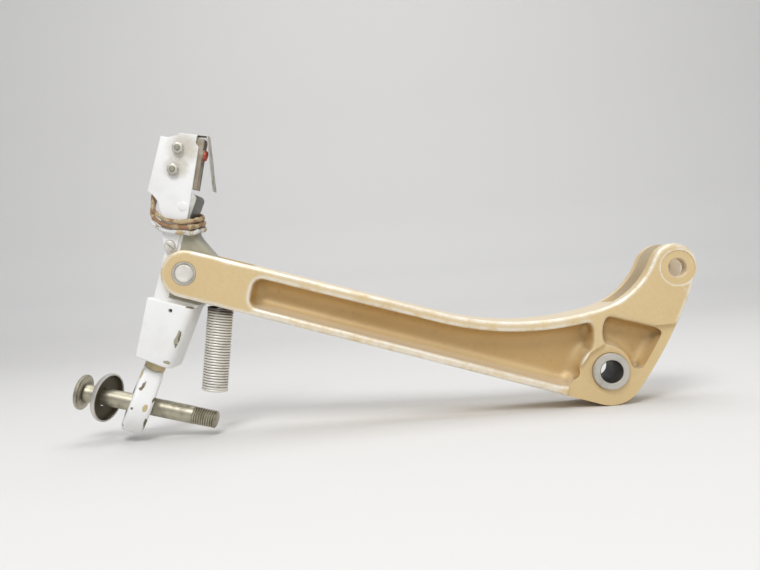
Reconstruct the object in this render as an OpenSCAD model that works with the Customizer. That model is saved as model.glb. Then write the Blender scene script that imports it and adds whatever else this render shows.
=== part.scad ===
// Bellcrank lever with a hinged link, a snap switch and a tension spring.
// Millimetres. Origin at the middle of the pivot bush. +X to the clevis end, +Y to the back, +Z up.

/* [Lever arm] */
// Distance from the pivot bush to the link pin
arm_len = 189.5; // [170:0.5:210]
// Rise of the arm from the pivot to the link pin, in degrees
arm_angle = 17.5; // [12:0.5:22]
// Thickness of the arm over its flanges
arm_t = 25.4; // [23:0.1:28]
// Radius of the fork end round the link pin
fork_r = 10.2; // [9:0.1:10.4]
// Radius of the heel round the pivot
heel_r = 14.8; // [13.8:0.1:17]
// Radius of the clevis ears
ear_r = 9.7; // [9:0.1:11]
// Clevis hole past the pivot, along the arm
ear_along = 17.4; // [12:0.2:24]
// Clevis hole above the line from the pivot to the link pin
ear_rise = 50.2; // [46:0.2:56]
// Radius of the long sweep of the upper edge
sweep_r = 129; // [115:1:145]
// Start of the long sweep, measured back from the pivot
sweep_back = 74.8; // [68:0.2:85]
// Height of the upper edge where the long sweep starts
sweep_height = 8.3; // [7.5:0.1:9.5]
// Radius of the tight curve under the clevis
throat_r = 35; // [30:0.5:40]
// Radius of the bowed edge from the clevis down to the heel
side_r = 180; // [140:5:260]
// Width of the flanges round the pockets
flange_w = 4.2; // [3.4:0.1:5]
// Thickness of the web between the pockets
web_t = 5.4; // [4:0.1:8]
// Start of the long pocket, from the link pin
pocket_start = 30; // [29:0.5:40]
// Radius of the pocket corners
pocket_r = 4.2; // [2:0.1:4.6]
// Radius of the boss round the pivot bush
boss_r = 11.6; // [11:0.1:13.4]
// Width of the rib from the boss to the upper flange
rib_w = 4.3; // [3:0.1:6]
// Step from the flange faces down to the heel faces
heel_step = 1.9; // [1:0.1:3]
// Width of the slot in the fork
fork_slot = 16.4; // [15.6:0.1:17.2]
// Depth of the fork slot behind the link pin
fork_depth = 27; // [25:0.5:28]
// Width of the slot between the clevis ears
clevis_slot = 12.7; // [11:0.1:14]
// Depth of the clevis slot below the clevis hole
clevis_depth = 13.5; // [12:0.5:16]
// Diameter of the clevis hole
clevis_bore = 8; // [6.4:0.1:9]

/* [Bushes and pins] */
// Outside diameter of the pivot bush
bush_od = 16; // [14:0.1:18]
// Bore of the pivot bush
bush_bore = 9.6; // [8:0.1:11]
// Diameter of the link pin
pin_d = 8.4; // [7.4:0.1:8.8]
// Outside diameter of the bushes on the link pin
pin_bush_od = 11.2; // [10.4:0.1:12]
// Running clearance round the link pin, on the radius
pin_play = 0.04; // [0.02:0.01:0.08]

/* [Link] */
// Lean of the link from the vertical, in degrees
link_lean = 18.3; // [10:0.1:24]
// Thickness of the tongue in the fork
tongue_t = 15.9; // [15:0.1:16]
// Depth of the block from front to back
block_depth = 22; // [20:0.2:24]
// Width of the block at its top
block_w = 19; // [17.5:0.2:21]
// Width of the block at its bottom
block_foot = 15.5; // [14:0.2:17]
// Length of the block along the link
block_len = 26.5; // [24:0.5:30]
// Distance from the link pin to the top of the block
block_drop = 13.6; // [13.2:0.1:15]
// Distance from the link pin to the left edge of the link
link_edge = 11.6; // [11:0.1:12.4]
// Height of the post above the link pin
post_h = 34.5; // [33:0.5:36]
// Width of the post
post_w = 8.4; // [7.6:0.1:9.4]
// Thickness of the horn that carries the spring
horn_t = 3.2; // [2.4:0.1:3.6]
// Hole in the horn
horn_bore = 3.4; // [3:0.1:3.8]

/* [Rod eye and bolt] */
// Tilt of the eye against the link, in degrees
eye_tilt = 7.5; // [2:0.5:9]
// Turn of the eye round its own shank, to the back, in degrees
eye_turn = 15.5; // [6:0.5:16]
// Distance from the top of the shank to the eye's centre
eye_len = 45.5; // [42:0.5:48]
// Thickness of the eye
eye_t = 9.5; // [8.5:0.1:10]
// Outside radius of the eye
eye_r = 12.5; // [11:0.1:14]
// Diameter of the bare neck
neck_d = 9.2; // [8.2:0.1:10]
// Diameter of the screwed shank
shank_d = 7.9; // [6.5:0.1:8]
// Radius of the ball
ball_r = 8.4; // [8:0.1:8.8]
// Gap between the ball and its seat
ball_play = 0.25; // [0.15:0.05:0.3]
// Diameter of the bolt
bolt_d = 7.9; // [6.4:0.1:8.4]
// Bolt length on the head's side of the eye, under the head
bolt_back = 26; // [24:0.5:30]
// Bolt length on the threaded side of the eye
bolt_front = 36; // [32:0.5:42]
// Threaded length
thread_len = 11; // [8:0.5:14]
// Head diameter
head_d = 16; // [14:0.2:18]
// Head thickness
head_h = 2.6; // [2:0.1:3.4]
// Diameter of the dished washer
washer_d = 22; // [18:0.5:24]
// Tilt of the bolt back towards the level, in degrees
bolt_tilt = 11; // [8:0.5:12]
// Turn of the bolt out of the link's plane, to the front, in degrees
bolt_turn = 7; // [0:0.5:7.5]

/* [Spring] */
// Outside diameter of the spring
spring_od = 11.7; // [10.5:0.1:12.5]
// Wire diameter
wire_d = 1.1; // [0.9:0.05:1.2]
// Length of the coiled body
coil_len = 38; // [34:0.5:42]
// Number of turns
coil_turns = 28; // [24:1:30]
// Tilt of the spring against the link, in degrees
spring_tilt = 9.3; // [6:0.1:12]

/* [Switch and bracket] */
// Thickness of the bracket plate
plate_t = 1.2; // [0.8:0.1:1.6]
// Width of the bracket plate
plate_w = 16; // [15:0.2:18]
// Height of the bracket plate's top above the post
plate_rise = 24.5; // [22.5:0.5:25]
// Distance between the two switch screws
screw_pitch = 9.5; // [8.5:0.1:10.5]
// Diameter of the switch screws
screw_d = 2.2; // [1.8:0.1:2.5]
// Nut size across the flats
nut_af = 4.4; // [4:0.1:5.2]
// Length of the switch case
case_len = 20; // [18:0.5:21]
// Height of the switch case, from terminals to plunger
case_h = 12.6; // [11.5:0.1:13.2]
// Thickness of the switch case and its cover together
case_t = 6.4; // [5.8:0.1:7]
// Thickness of the switch leaf
leaf_t = 0.5; // [0.4:0.05:0.6]
// Width of the switch leaf
leaf_w = 5; // [4:0.1:5.6]
// Length of the switch leaf
leaf_len = 23; // [19:0.5:25]
// Diameter of the leads
lead_d = 1.7; // [1.4:0.1:1.8]

/* [Hidden] */
$fn = 64;
// Longer than anything that is cut
far = 120;
// Press and slip gap between pieces that stay together
slip = 0.02;
gold = "#b09660";
steel = "#a9aaa8";
white = "#e8e8e4";

// Places along the arm, measured from the link pin
pin_x = -arm_len * cos(arm_angle);
pin_z = arm_len * sin(arm_angle);
fork_c = [0, 0];
pivot_c = [arm_len, 0];
// The ears' round is a little back from the clevis hole
ear_c = [arm_len + ear_along - 1.3, ear_rise + 0.4];
side_c = meet(ear_c, side_r - ear_r, pivot_c, side_r - heel_r);
ear_z = pin_z + ear_rise * cos(arm_angle) - (arm_len + ear_along) * sin(arm_angle);
ear_x = pin_x + ear_rise * sin(arm_angle) + (arm_len + ear_along) * cos(arm_angle);
sweep_c = [arm_len - sweep_back, sweep_height + sweep_r];
throat_c = meet(sweep_c, sweep_r - throat_r, ear_c, throat_r + ear_r);
heel_half = arm_t / 2 - heel_step;
spot_r = 7.5;
spot_depth = 0.4;
// The rib's foot beside the pivot and its angle to the arm
rib_foot = -6;
rib_angle = 103;
// Top of the three-cornered pocket above the arm line
corner_pocket_top = 22.9;

// Places on the link, measured from the link pin
post_right = post_w - link_edge;
horn_c = [15.3, -4];
horn_r = 4;
block_corner = 4.5;
eye_start = [-2.3, -17];
bolt_at = [eye_start[0] - eye_len * sin(eye_tilt), eye_start[1] - eye_len * cos(eye_tilt)];
block_end = (link_edge + eye_start[0]) * sin(eye_tilt) + (block_drop + block_len + eye_start[1]) * cos(eye_tilt);
paint_start = block_end + 3;
witness_d = 1.8;

// Places on the switch and its plate
plate_back = -tongue_t / 2;
plate_front = plate_back - plate_t;
plate_left = -24.5;
plate_top = post_h + plate_rise;
screw_u = -15.7;
screw_w = post_h + 12.9;
case_left = -18.4;
case_right = case_left + case_h;
case_low = screw_w - 9.8;
case_back = plate_back + case_t;
cover_t = 1.2;
plunger_w = screw_w + 4.9;
plunger_y = plate_back + case_t / 2;
plunger_d = 2.4;
plunger_gap = 0.4;
leaf_pivot = [case_right + 0.3, case_low + case_len + 0.5];
leaf_slope = 20;
tab_r = 3;
bracket_screw_at = [-9.4, 10.2];
bracket_rivet_at = [-8, post_h - 6.3];
terminal_len = 3.9;
terminal_pitch = 4.7;

// Routes of the leads, measured from the link pin: right, back, up
lead_step = 3.1;
lead_turn = 2;
lead_out = 1.1;
lead_rows = [0, 2, 1];
lead_depths = [-1.95, 2.1, 0.05];
lead_route = [[-24.2, 0, 36], [-24.2, 0, 27.5], [-21.4, -8.4, 23.2], [-14, -11.2, 20.2], [-7, -10.7, 21.2],
    [-0.6, -9.6, 23], [1.2, -5, 24.6], [1.3, 2, 25.6], [-0.8, 8.2, 26.2], [-7, 9.4, 26.4], [-13, 9, 26.2]];

// Geometry helpers
function unit(v) = v / norm(v);
function perp(v) = [-v[1], v[0]];
function bearing(v) = atan2(v[1], v[0]);
// Points of an arc from one bearing to another
function arc(c, r, a0, a1, steps) =
    [for (i = [0 : steps]) let (a = a0 + (a1 - a0) * i / steps) c + r * [cos(a), sin(a)]];
// Crossing point of two circles, on the left of the line from the first to the second, reversed
function meet(c1, r1, c2, r2) =
    let (d = norm(c2 - c1), e = unit(c2 - c1), a = (d * d + r1 * r1 - r2 * r2) / (2 * d))
    c1 + a * e - sqrt(r1 * r1 - a * a) * perp(e);
// Unit normal of the common tangent of two circles: side 1 is left of the line from the first to the second
function tangent_normal(c1, r1, c2, r2, side) =
    let (d = norm(c2 - c1), e = unit(c2 - c1), k = (r1 - r2) / d)
    k * e + side * sqrt(1 - k * k) * perp(e);
// Smooth curve through the points, with steps rings for each span
function curve(p, steps) = [for (i = [0 : len(p) - 2], j = [0 : steps - 1]) curve_point(p, i, j / steps), p[len(p) - 1]];
function curve_point(p, i, t) =
    let (a = p[max(i - 1, 0)], b = p[i], c = p[i + 1], d = p[min(i + 2, len(p) - 1)])
    0.5 * (2 * b + (c - a) * t + (2 * a - 5 * b + 4 * c - d) * t * t + (3 * b - a - 3 * c + d) * t * t * t);
function heading(p, i) = unit(p[min(i + 1, len(p) - 1)] - p[max(i - 1, 0)]);
function carried(n, t) = unit(n - (n * t) * t);
function normals(p, first) =
    [for (i = 0, n = carried(first, heading(p, 0)); i < len(p); i = i + 1,
        n = carried(n, heading(p, min(i, len(p) - 1)))) n];

// A tube of the given radius along a path
module tube(path, r, sides, first) {
    n = normals(path, first);
    count = len(path);
    ring = [for (i = [0 : count - 1], k = [0 : sides - 1])
        let (t = heading(path, i), a = k * 360 / sides)
        path[i] + r * (cos(a) * n[i] + sin(a) * cross(t, n[i]))];
    walls = [for (i = [0 : count - 2], k = [0 : sides - 1])
        let (a = i * sides + k, b = i * sides + (k + 1) % sides)
        each [[a, b + sides, b], [a, a + sides, b + sides]]];
    caps = [[for (k = [0 : sides - 1]) k], [for (k = [sides - 1 : -1 : 0]) (count - 1) * sides + k]];
    polyhedron(ring, concat(walls, caps));
}

// Extrudes a drawing in the X-Z plane from one depth to another
module slab(y0, y1) {
    translate([0, y1, 0]) rotate([90, 0, 0]) linear_extrude(y1 - y0) children();
}
// A cylinder along Y between two depths
module bar(r, y0, y1) {
    translate([0, y1, 0]) rotate([90, 0, 0]) cylinder(r = r, h = y1 - y0);
}
module in_arm() {
    translate([pin_x, 0, pin_z]) rotate([0, arm_angle, 0]) children();
}
module in_link() {
    translate([pin_x, 0, pin_z]) rotate([0, link_lean, 0]) children();
}
// Along the eye's shank, downwards is -Z, from the top of the shank
module in_eye() {
    in_link() translate([eye_start[0], 0, eye_start[1]]) rotate([0, eye_tilt, 0]) rotate([0, 0, eye_turn]) children();
}
// At the ball's centre, with the bolt along +X
module in_bolt() {
    in_link() translate([bolt_at[0], 0, bolt_at[1]]) rotate([0, eye_tilt, 0]) rotate([0, 0, -bolt_turn])
        rotate([0, -bolt_tilt, 0]) children();
}
// Revolves a half profile, drawn as distance along X and radius, round X
module along_x() {
    rotate([0, 90, 0]) rotate_extrude() mirror([1, -1]) children();
}
// A round nose or arm between two circles, drawn with its common tangents
module tapered_bar(c1, r1, c2, r2) {
    left = tangent_normal(c1, r1, c2, r2, 1);
    right = tangent_normal(c1, r1, c2, r2, -1);
    translate(c1) circle(r1);
    translate(c2) circle(r2);
    polygon([c1 + r1 * left, c1 + r1 * right, c2 + r2 * right, c2 + r2 * left]);
}

// Outline of the arm, drawn a given distance inside its edge: six arcs and their common tangents
module arm_outline(inset = 0) {
    fork = fork_r - inset;
    heel = heel_r - inset;
    ear = ear_r - inset;
    sweep = sweep_r + inset;
    up = bearing(tangent_normal(fork_c, fork, sweep_c, -sweep, 1));
    low = bearing(tangent_normal(fork_c, fork, pivot_c, heel, -1));
    dip = bearing(throat_c - sweep_c);
    lift = bearing(ear_c - throat_c);
    ear_end = bearing(ear_c - side_c);
    heel_end = bearing(pivot_c - side_c);
    polygon(concat(arc(fork_c, fork, low, up - 360, 20), arc(sweep_c, sweep, up - 180, dip, 14),
        arc(throat_c, throat_r + inset, dip, lift, 14), arc(ear_c, ear, lift + 180, ear_end, 20),
        arc(side_c, side_r - inset, ear_end, heel_end, 10), arc(pivot_c, heel, heel_end, low, 12)));
}

// The long pocket and the three-cornered pocket, either side of the rib
module pocket_outline() {
    offset(r = pocket_r, $fn = 32) offset(delta = -pocket_r) difference() {
        arm_outline(flange_w);
        translate([-far, -far]) square([far + pocket_start, 2 * far]);
        translate(pivot_c) circle(boss_r);
        translate(pivot_c + [rib_foot, 0]) rotate(rib_angle) translate([0, -rib_w / 2]) square([far, rib_w]);
        translate(pivot_c + [rib_foot - rib_w, corner_pocket_top]) square([far, far]);
    }
}

// Where the heel faces lie below the flange faces
module heel_outline() {
    low = -far / heel_r;
    translate(pivot_c) polygon(heel_r * [[-1.11, low], [-1.11, -0.61], [-0.74, 0.41], [-0.37, 0.78], [0.93, 1.61],
        [2, 1.96], [-low, 2], [-low, low]]);
}

module lever_arm() {
    half = arm_t / 2;
    color(gold) difference() {
        in_arm() slab(-half, half) arm_outline();
        for (side = [-1, 1]) {
            in_arm() scale([1, side, 1]) slab(web_t / 2, far) pocket_outline();
            in_arm() scale([1, side, 1]) slab(heel_half, far) heel_outline();
            translate([ear_x, 0, ear_z]) scale([1, side, 1]) bar(spot_r, half - spot_depth, far);
        }
        in_arm() translate([-far, -fork_slot / 2, -far]) cube([far + fork_depth, fork_slot, 2 * far]);
        translate([ear_x - throat_r - ear_r, -clevis_slot / 2, ear_z - clevis_depth]) cube([far, clevis_slot, far]);
        translate([ear_x, 0, ear_z]) bar(clevis_bore / 2, -far, far);
        translate([pin_x, 0, pin_z]) bar(pin_bush_od / 2, -far, far);
        bar(bush_od / 2, -far, far);
    }
}

module pivot_bush() {
    color(steel) difference() {
        bar(bush_od / 2 - slip, -arm_t / 2, arm_t / 2);
        bar(bush_bore / 2, -far, far);
    }
}

module pin_bush(y0, y1) {
    color(steel) translate([pin_x, 0, pin_z]) difference() {
        bar(pin_bush_od / 2 - slip, y0, y1);
        bar(pin_d / 2 + slip, -far, far);
    }
}
module pin_bush_front() { pin_bush(-arm_t / 2, -fork_slot / 2); }
module pin_bush_rear() { pin_bush(fork_slot / 2, arm_t / 2); }

// The pin, with a chamfer and a shallow dish at each end
module link_pin() {
    half = arm_t / 2 + 0.3;
    r = pin_d / 2;
    color("#c9c6bd") translate([pin_x, 0, pin_z]) rotate([0, 0, 90]) along_x()
        polygon([[-half + 0.5, 0], [-half, 2.6], [-half, r - 0.5], [-half + 0.5, r], [half - 0.5, r], [half, r - 0.5],
            [half, 2.6], [half - 0.5, 0]]);
}

module link_bush() {
    color("#9a7b45") translate([pin_x, 0, pin_z]) difference() {
        bar(pin_bush_od / 2 - slip, -tongue_t / 2, tongue_t / 2);
        bar(pin_d / 2 + pin_play, -far, far);
    }
}

// A thin slice of the block, with its right corners round
module block_slice(w) {
    half = block_depth / 2;
    linear_extrude(0.01) hull() {
        translate([-link_edge, -half]) square([1, block_depth]);
        for (side = [-1, 1])
            translate([w - link_edge - block_corner, side * (half - block_corner)]) circle(block_corner, $fn = 32);
    }
}
module block() {
    hull() {
        translate([0, 0, -block_drop]) block_slice(block_w);
        translate([-link_edge, 0, -block_drop - block_len]) rotate([0, eye_tilt, 0]) translate([link_edge, 0, 0])
            block_slice(block_foot);
    }
}
// Tongue, post and the sloped shoulder between them
module tongue_outline() {
    polygon([[-link_edge, -block_drop - 1], [-link_edge, post_h], [post_right - 1.2, post_h],
        [post_right, post_h - 1.5], [post_right - 1, 24], [0.6, 16.1], [9.2, 10.1], [12, 6.5], [12, -5],
        [block_w - link_edge - 0.6, -block_drop - 1]]);
}
module link_body() {
    color(white) in_link() difference() {
        union() {
            block();
            slab(-tongue_t / 2, tongue_t / 2) tongue_outline();
            slab(-horn_t / 2, horn_t / 2) tapered_bar([8, 0], 6.5, horn_c, horn_r);
        }
        bar(pin_bush_od / 2, -far, far);
        translate([horn_c[0], 0, horn_c[1]]) bar(horn_bore / 2, -far, far);
        translate([eye_start[0], 0, eye_start[1]]) bar(witness_d / 2, -far, 0);
        translate([eye_start[0], 0, eye_start[1]]) rotate([0, eye_tilt, 0]) translate([0, 0, -far])
            cylinder(d = shank_d + 2 * slip, h = far);
        for (at = [bracket_screw_at, bracket_rivet_at])
            translate([at[0], 0, at[1]]) bar(screw_d / 2 + slip, -far, 0);
    }
}

module rod_eye() {
    color(white) in_eye() difference() {
        union() {
            translate([0, 0, -paint_start]) cylinder(d = shank_d, h = paint_start - 2);
            translate([0, 0, -paint_start - 3]) cylinder(d = neck_d, h = paint_start + 3 - block_end - slip);
            rotate([0, 0, 90]) slab(-eye_t / 2, eye_t / 2)
                tapered_bar([0, -paint_start - neck_d / 2], neck_d / 2 + 1, [0, -eye_len], eye_r);
        }
        translate([0, 0, -eye_len]) along_x() zone(ball_r + ball_play, eye_t / 2 + 1, 0);
    }
}

// Half section of a ball cut off flat at both sides, above a bore
module zone(r, half, bore) {
    a = asin(half / r);
    polygon(concat([[half, bore], [-half, bore]], [for (p = arc([0, 0], r, -a, a, 12)) [p[1], p[0]]]));
}
module eye_ball() {
    color(steel) in_bolt() along_x() zone(ball_r, eye_t / 2 + 0.9, bolt_d / 2 + slip);
}

// The bolt, with a thin round head, a plain shank, a run-out groove and a row of thread ridges
module eye_bolt() {
    r = bolt_d / 2;
    pitch = 1.06;
    depth = 0.5;
    count = floor((thread_len - 1.6) / pitch);
    run = bolt_front - thread_len;
    ridges = [for (i = [0 : count - 1]) each [[run + 1 + i * pitch, r - depth], [run + 1 + (i + 0.5) * pitch, r]]];
    color(steel) in_bolt() along_x()
        polygon(concat([[-bolt_back - head_h, 0], [-bolt_back - head_h, head_d / 2 - 0.6],
            [-bolt_back - head_h + 0.6, head_d / 2], [-bolt_back, head_d / 2], [-bolt_back, r], [run, r],
            [run + 0.5, r - depth]], ridges, [[bolt_front - 0.6, r - depth], [bolt_front, r - 1], [bolt_front, 0]]));
}

// Dished washer, open towards the eye
module cup_washer() {
    hole = bolt_d / 2 + 0.15;
    rim = washer_d / 2;
    color(steel) in_bolt() translate([-bolt_back * 0.63, 0, 0]) along_x()
        polygon([[-1.6, hole], [-1.6, rim - 3], [-0.6, rim], [1.6, rim], [1.6, rim - 1.4], [0, rim - 3.2], [-0.4, hole]]);
}

// Close-wound spring with a hook through the horn
module tension_spring() {
    r = (spring_od - wire_d) / 2;
    steps = 12;
    rise = 1;
    seat = (horn_bore - wire_d) / 2 - (r - sqrt(r * r - horn_t * horn_t / 4)) - 0.1;
    top = -seat - r - rise;
    coil = [for (i = [0 : coil_turns * steps])
        let (a = i * 360 / steps) [r * sin(a), -r * cos(a), top - coil_len * i / (coil_turns * steps)]];
    hook = concat([[0, -r, top], [0, -r, top + rise * 0.5]],
        [for (b = [0 : 15 : 180]) [0, -r * cos(b), top + rise + r * sin(b)]]);
    color("#b4b2aa") in_link() translate([horn_c[0], 0, horn_c[1]]) rotate([0, -spring_tilt, 0]) union() {
        tube(coil, wire_d / 2, 6, [0, 0, 1]);
        tube(hook, wire_d / 2, 6, [1, 0, 0]);
    }
}

// Plate of the bracket: a wide head, a notch for the leads, a neck and a round tab
module plate_outline() {
    head_low = 31;
    right = plate_left + plate_w;
    neck_left = -15.9;
    difference() {
        polygon(concat([[plate_left, head_low], [plate_left, plate_top - 3.5], [plate_left + 3.4, plate_top - 3.2],
            [right - 8.7, plate_top - 1.2], [right - 8.7, plate_top - 0.3], [right - 0.6, plate_top + 0.7],
            [right - 0.5, plate_top - 2.7], [right + 1.2, plate_top - 4.3], [post_right - 1.6, 23],
            [bracket_screw_at[0] + tab_r, 16]], arc(bracket_screw_at, tab_r, 0, -180, 12),
            [[neck_left, 19], [neck_left, 22], [neck_left - 2.1, 25.3], [neck_left - 3.1, 27.6],
            [plate_left + 2.4, head_low - 1]]));
        for (w = [-0.5, 0.5])
            translate([screw_u, screw_w + w * screw_pitch]) circle(screw_d / 2 + slip);
        translate(bracket_screw_at) circle(screw_d / 2 + slip);
        translate(bracket_rivet_at) circle(screw_d / 2 + slip);
    }
}
module switch_bracket() {
    color(white) in_link() slab(plate_front, plate_back) plate_outline();
}

// Round-headed screw with a slot, its head against the face at y and its shank behind it
module headed(at, head_r, head_t, shank, slot_w, y) {
    in_link() translate([at[0], y, at[1]]) difference() {
        union() {
            bar(head_r, -head_t, 0);
            bar(screw_d / 2, -head_t / 2, shank);
        }
        if (slot_w > 0) translate([-far, -far - head_t / 2, -slot_w / 2]) cube([2 * far, far, slot_w]);
    }
}
module bracket_screw() { color(steel) headed(bracket_screw_at, 2.5, 1.5, 6, 0.6, plate_front); }
module bracket_rivet() { color(white) headed(bracket_rivet_at, 2.2, 0.4, 6, 0, plate_front); }

module case_outline() {
    difference() {
        translate([case_left, case_low]) square([case_h, case_len]);
        for (w = [-0.5, 0.5])
            translate([screw_u, screw_w + w * screw_pitch]) circle(screw_d / 2 + slip);
    }
}
module switch_case() {
    color("#8d7f68") in_link() difference() {
        slab(plate_back, case_back - cover_t) case_outline();
        translate([case_right - 4, plunger_y, plunger_w]) rotate([0, 90, 0]) cylinder(d = plunger_d + 0.2, h = far);
    }
}
module switch_cover() {
    color("#6f6554") in_link() slab(case_back - cover_t, case_back) case_outline();
}
module switch_plunger() {
    leaf_u = leaf_pivot[0] + (leaf_pivot[1] - plunger_w - plunger_d / 2) * tan(leaf_slope);
    color("#b5503a") in_link() translate([case_right - 2, plunger_y, plunger_w]) rotate([0, 90, 0])
        cylinder(d = plunger_d, h = leaf_u - plunger_gap - case_right + 2);
}
// Bent strip: a short foot over the end of the case and a long blade beside the plunger
module switch_leaf() {
    blade = [sin(leaf_slope), -cos(leaf_slope)] * leaf_len;
    side = [leaf_t * cos(leaf_slope), leaf_t * sin(leaf_slope)];
    foot = leaf_pivot - [leaf_w, 0];
    color(steel) in_link() slab(plunger_y - leaf_w / 2, plunger_y + leaf_w / 2)
        polygon([foot, leaf_pivot, leaf_pivot + blade, leaf_pivot + blade + side, leaf_pivot + [side[0], leaf_t],
            foot + [0, leaf_t]]);
}
module switch_terminals() {
    color("#b9a26a") in_link() for (i = [-1 : 1])
        translate([case_left - terminal_len, plunger_y - 0.25, screw_w + i * terminal_pitch - 1.5])
            cube([terminal_len, 0.5, 3]);
}

// A screw from behind the cover through the plate, its washer and its nut
washer_t = 0.5;
nut_t = 1.6;
module switch_screw(w) {
    color(steel) in_link() translate([screw_u, 0, screw_w + w * screw_pitch]) union() {
        bar(screw_d / 2, plate_front - washer_t - nut_t - 1.1, case_back + 0.5);
        bar(2, case_back, case_back + 1.3);
    }
}
module switch_washer(w) {
    color(steel) in_link() translate([screw_u, 0, screw_w + w * screw_pitch]) difference() {
        bar(2.5, plate_front - washer_t, plate_front);
        bar(screw_d / 2 + slip, -far, far);
    }
}
module switch_nut(w) {
    front = plate_front - washer_t;
    color(steel) in_link() translate([screw_u, 0, screw_w + w * screw_pitch]) difference() {
        slab(front - nut_t, front) circle(d = nut_af / cos(30), $fn = 6);
        bar(screw_d / 2 + slip, -far, far);
    }
}
module switch_screw_upper() { switch_screw(0.5); }
module switch_screw_lower() { switch_screw(-0.5); }
module switch_washer_upper() { switch_washer(0.5); }
module switch_washer_lower() { switch_washer(-0.5); }
module switch_nut_upper() { switch_nut(0.5); }
module switch_nut_lower() { switch_nut(-0.5); }

// A lead from its terminal down behind the plate, through the notch and round the post
module lead(i) {
    start = [case_left - terminal_len - 0.8, plunger_y, screw_w + (1 - i) * terminal_pitch];
    depth = lead_depths[i];
    drop = [0, lead_turn, lead_step] * lead_rows[i];
    route = [for (k = [0 : len(lead_route) - 1])
        lead_route[k] + [k > 4 && k < 9 ? lead_out * lead_rows[i] : 0, k < 2 ? plunger_y + depth : 0, -drop[min(k, 2)]]];
    in_link() tube(curve(concat([start, start + [-1.2, depth * 0.75, -1.6]], route), 2), lead_d / 2, 8, [0, 1, 0]);
}
module lead_upper() { color("#c9b58e") lead(0); }
module lead_middle() { color("#d9d2c0") lead(1); }
module lead_lower() { color("#b79a74") lead(2); }

lever_arm();
pivot_bush();
pin_bush_front();
pin_bush_rear();
link_pin();
link_bush();
link_body();
rod_eye();
eye_ball();
eye_bolt();
cup_washer();
tension_spring();
switch_bracket();
bracket_screw();
bracket_rivet();
switch_case();
switch_cover();
switch_plunger();
switch_leaf();
switch_terminals();
switch_screw_upper();
switch_screw_lower();
switch_nut_upper();
switch_nut_lower();
switch_washer_upper();
switch_washer_lower();
lead_upper();
lead_middle();
lead_lower();
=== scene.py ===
"""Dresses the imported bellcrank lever: a forged arm, a hinged link with a snap switch, a spring, an eye and its bolt."""

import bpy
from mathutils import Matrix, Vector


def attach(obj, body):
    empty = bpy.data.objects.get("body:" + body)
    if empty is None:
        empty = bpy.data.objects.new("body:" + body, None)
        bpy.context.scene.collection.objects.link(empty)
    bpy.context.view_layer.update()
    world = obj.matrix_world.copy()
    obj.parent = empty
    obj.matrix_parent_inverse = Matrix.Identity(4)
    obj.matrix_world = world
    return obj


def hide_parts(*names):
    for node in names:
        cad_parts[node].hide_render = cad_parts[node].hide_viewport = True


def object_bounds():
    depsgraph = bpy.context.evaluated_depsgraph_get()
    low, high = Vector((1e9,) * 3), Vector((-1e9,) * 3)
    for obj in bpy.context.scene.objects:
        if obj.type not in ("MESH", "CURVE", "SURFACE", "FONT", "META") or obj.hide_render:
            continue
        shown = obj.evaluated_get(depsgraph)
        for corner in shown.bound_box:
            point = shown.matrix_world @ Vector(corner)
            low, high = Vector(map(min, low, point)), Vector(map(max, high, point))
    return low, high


bl_info = {
    "name": "Bellcrank lever",
    "version": (1, 0, 0),
    "blender": (4, 5, 0),
    "location": "View3D > Sidebar > Bellcrank",
    "description": "Models the pieces and finishes of a bellcrank lever round its packed frame",
    "category": "Add Mesh",
}

import math

import bpy
import numpy as np
from bpy.props import FloatProperty, FloatVectorProperty, IntProperty, PointerProperty
from mathutils import Matrix, Vector

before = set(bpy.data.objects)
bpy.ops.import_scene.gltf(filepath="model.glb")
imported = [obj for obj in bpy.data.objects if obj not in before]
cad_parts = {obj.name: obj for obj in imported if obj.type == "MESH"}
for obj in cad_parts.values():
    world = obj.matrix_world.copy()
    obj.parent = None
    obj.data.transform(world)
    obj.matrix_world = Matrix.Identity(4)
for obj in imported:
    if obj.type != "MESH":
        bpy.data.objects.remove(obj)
CAD_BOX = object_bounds()
# Sizes are held in metres, and pieces are modelled in millimetres before they settle into the frame
MM = 1000.0
TURN = 2 * math.pi
# Points round a turned piece, and a distance past every piece, for the ends of cutters
ROUND = 64
FAR = 40
# Points closer than this are merged, and edges are marked against this size
MERGE = 1e-4
EDGE_SIZE = 1.5


# Sizes and colours that a user would change


def length(name, words, value):
    return FloatProperty(name=name, description=words, default=value / MM, unit="LENGTH", precision=5)


def angle(name, words, value):
    return FloatProperty(name=name, description=words, default=math.radians(value), unit="ROTATION")


def paint(name, words, code):
    value = [int(code[i : i + 2], 16) / 255 for i in (0, 2, 4)]
    linear = [c / 12.92 if c <= 0.04045 else ((c + 0.055) / 1.055) ** 2.4 for c in value]
    return FloatVectorProperty(name=name, description=words, default=linear, size=3, subtype="COLOR", min=0, max=1)


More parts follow.
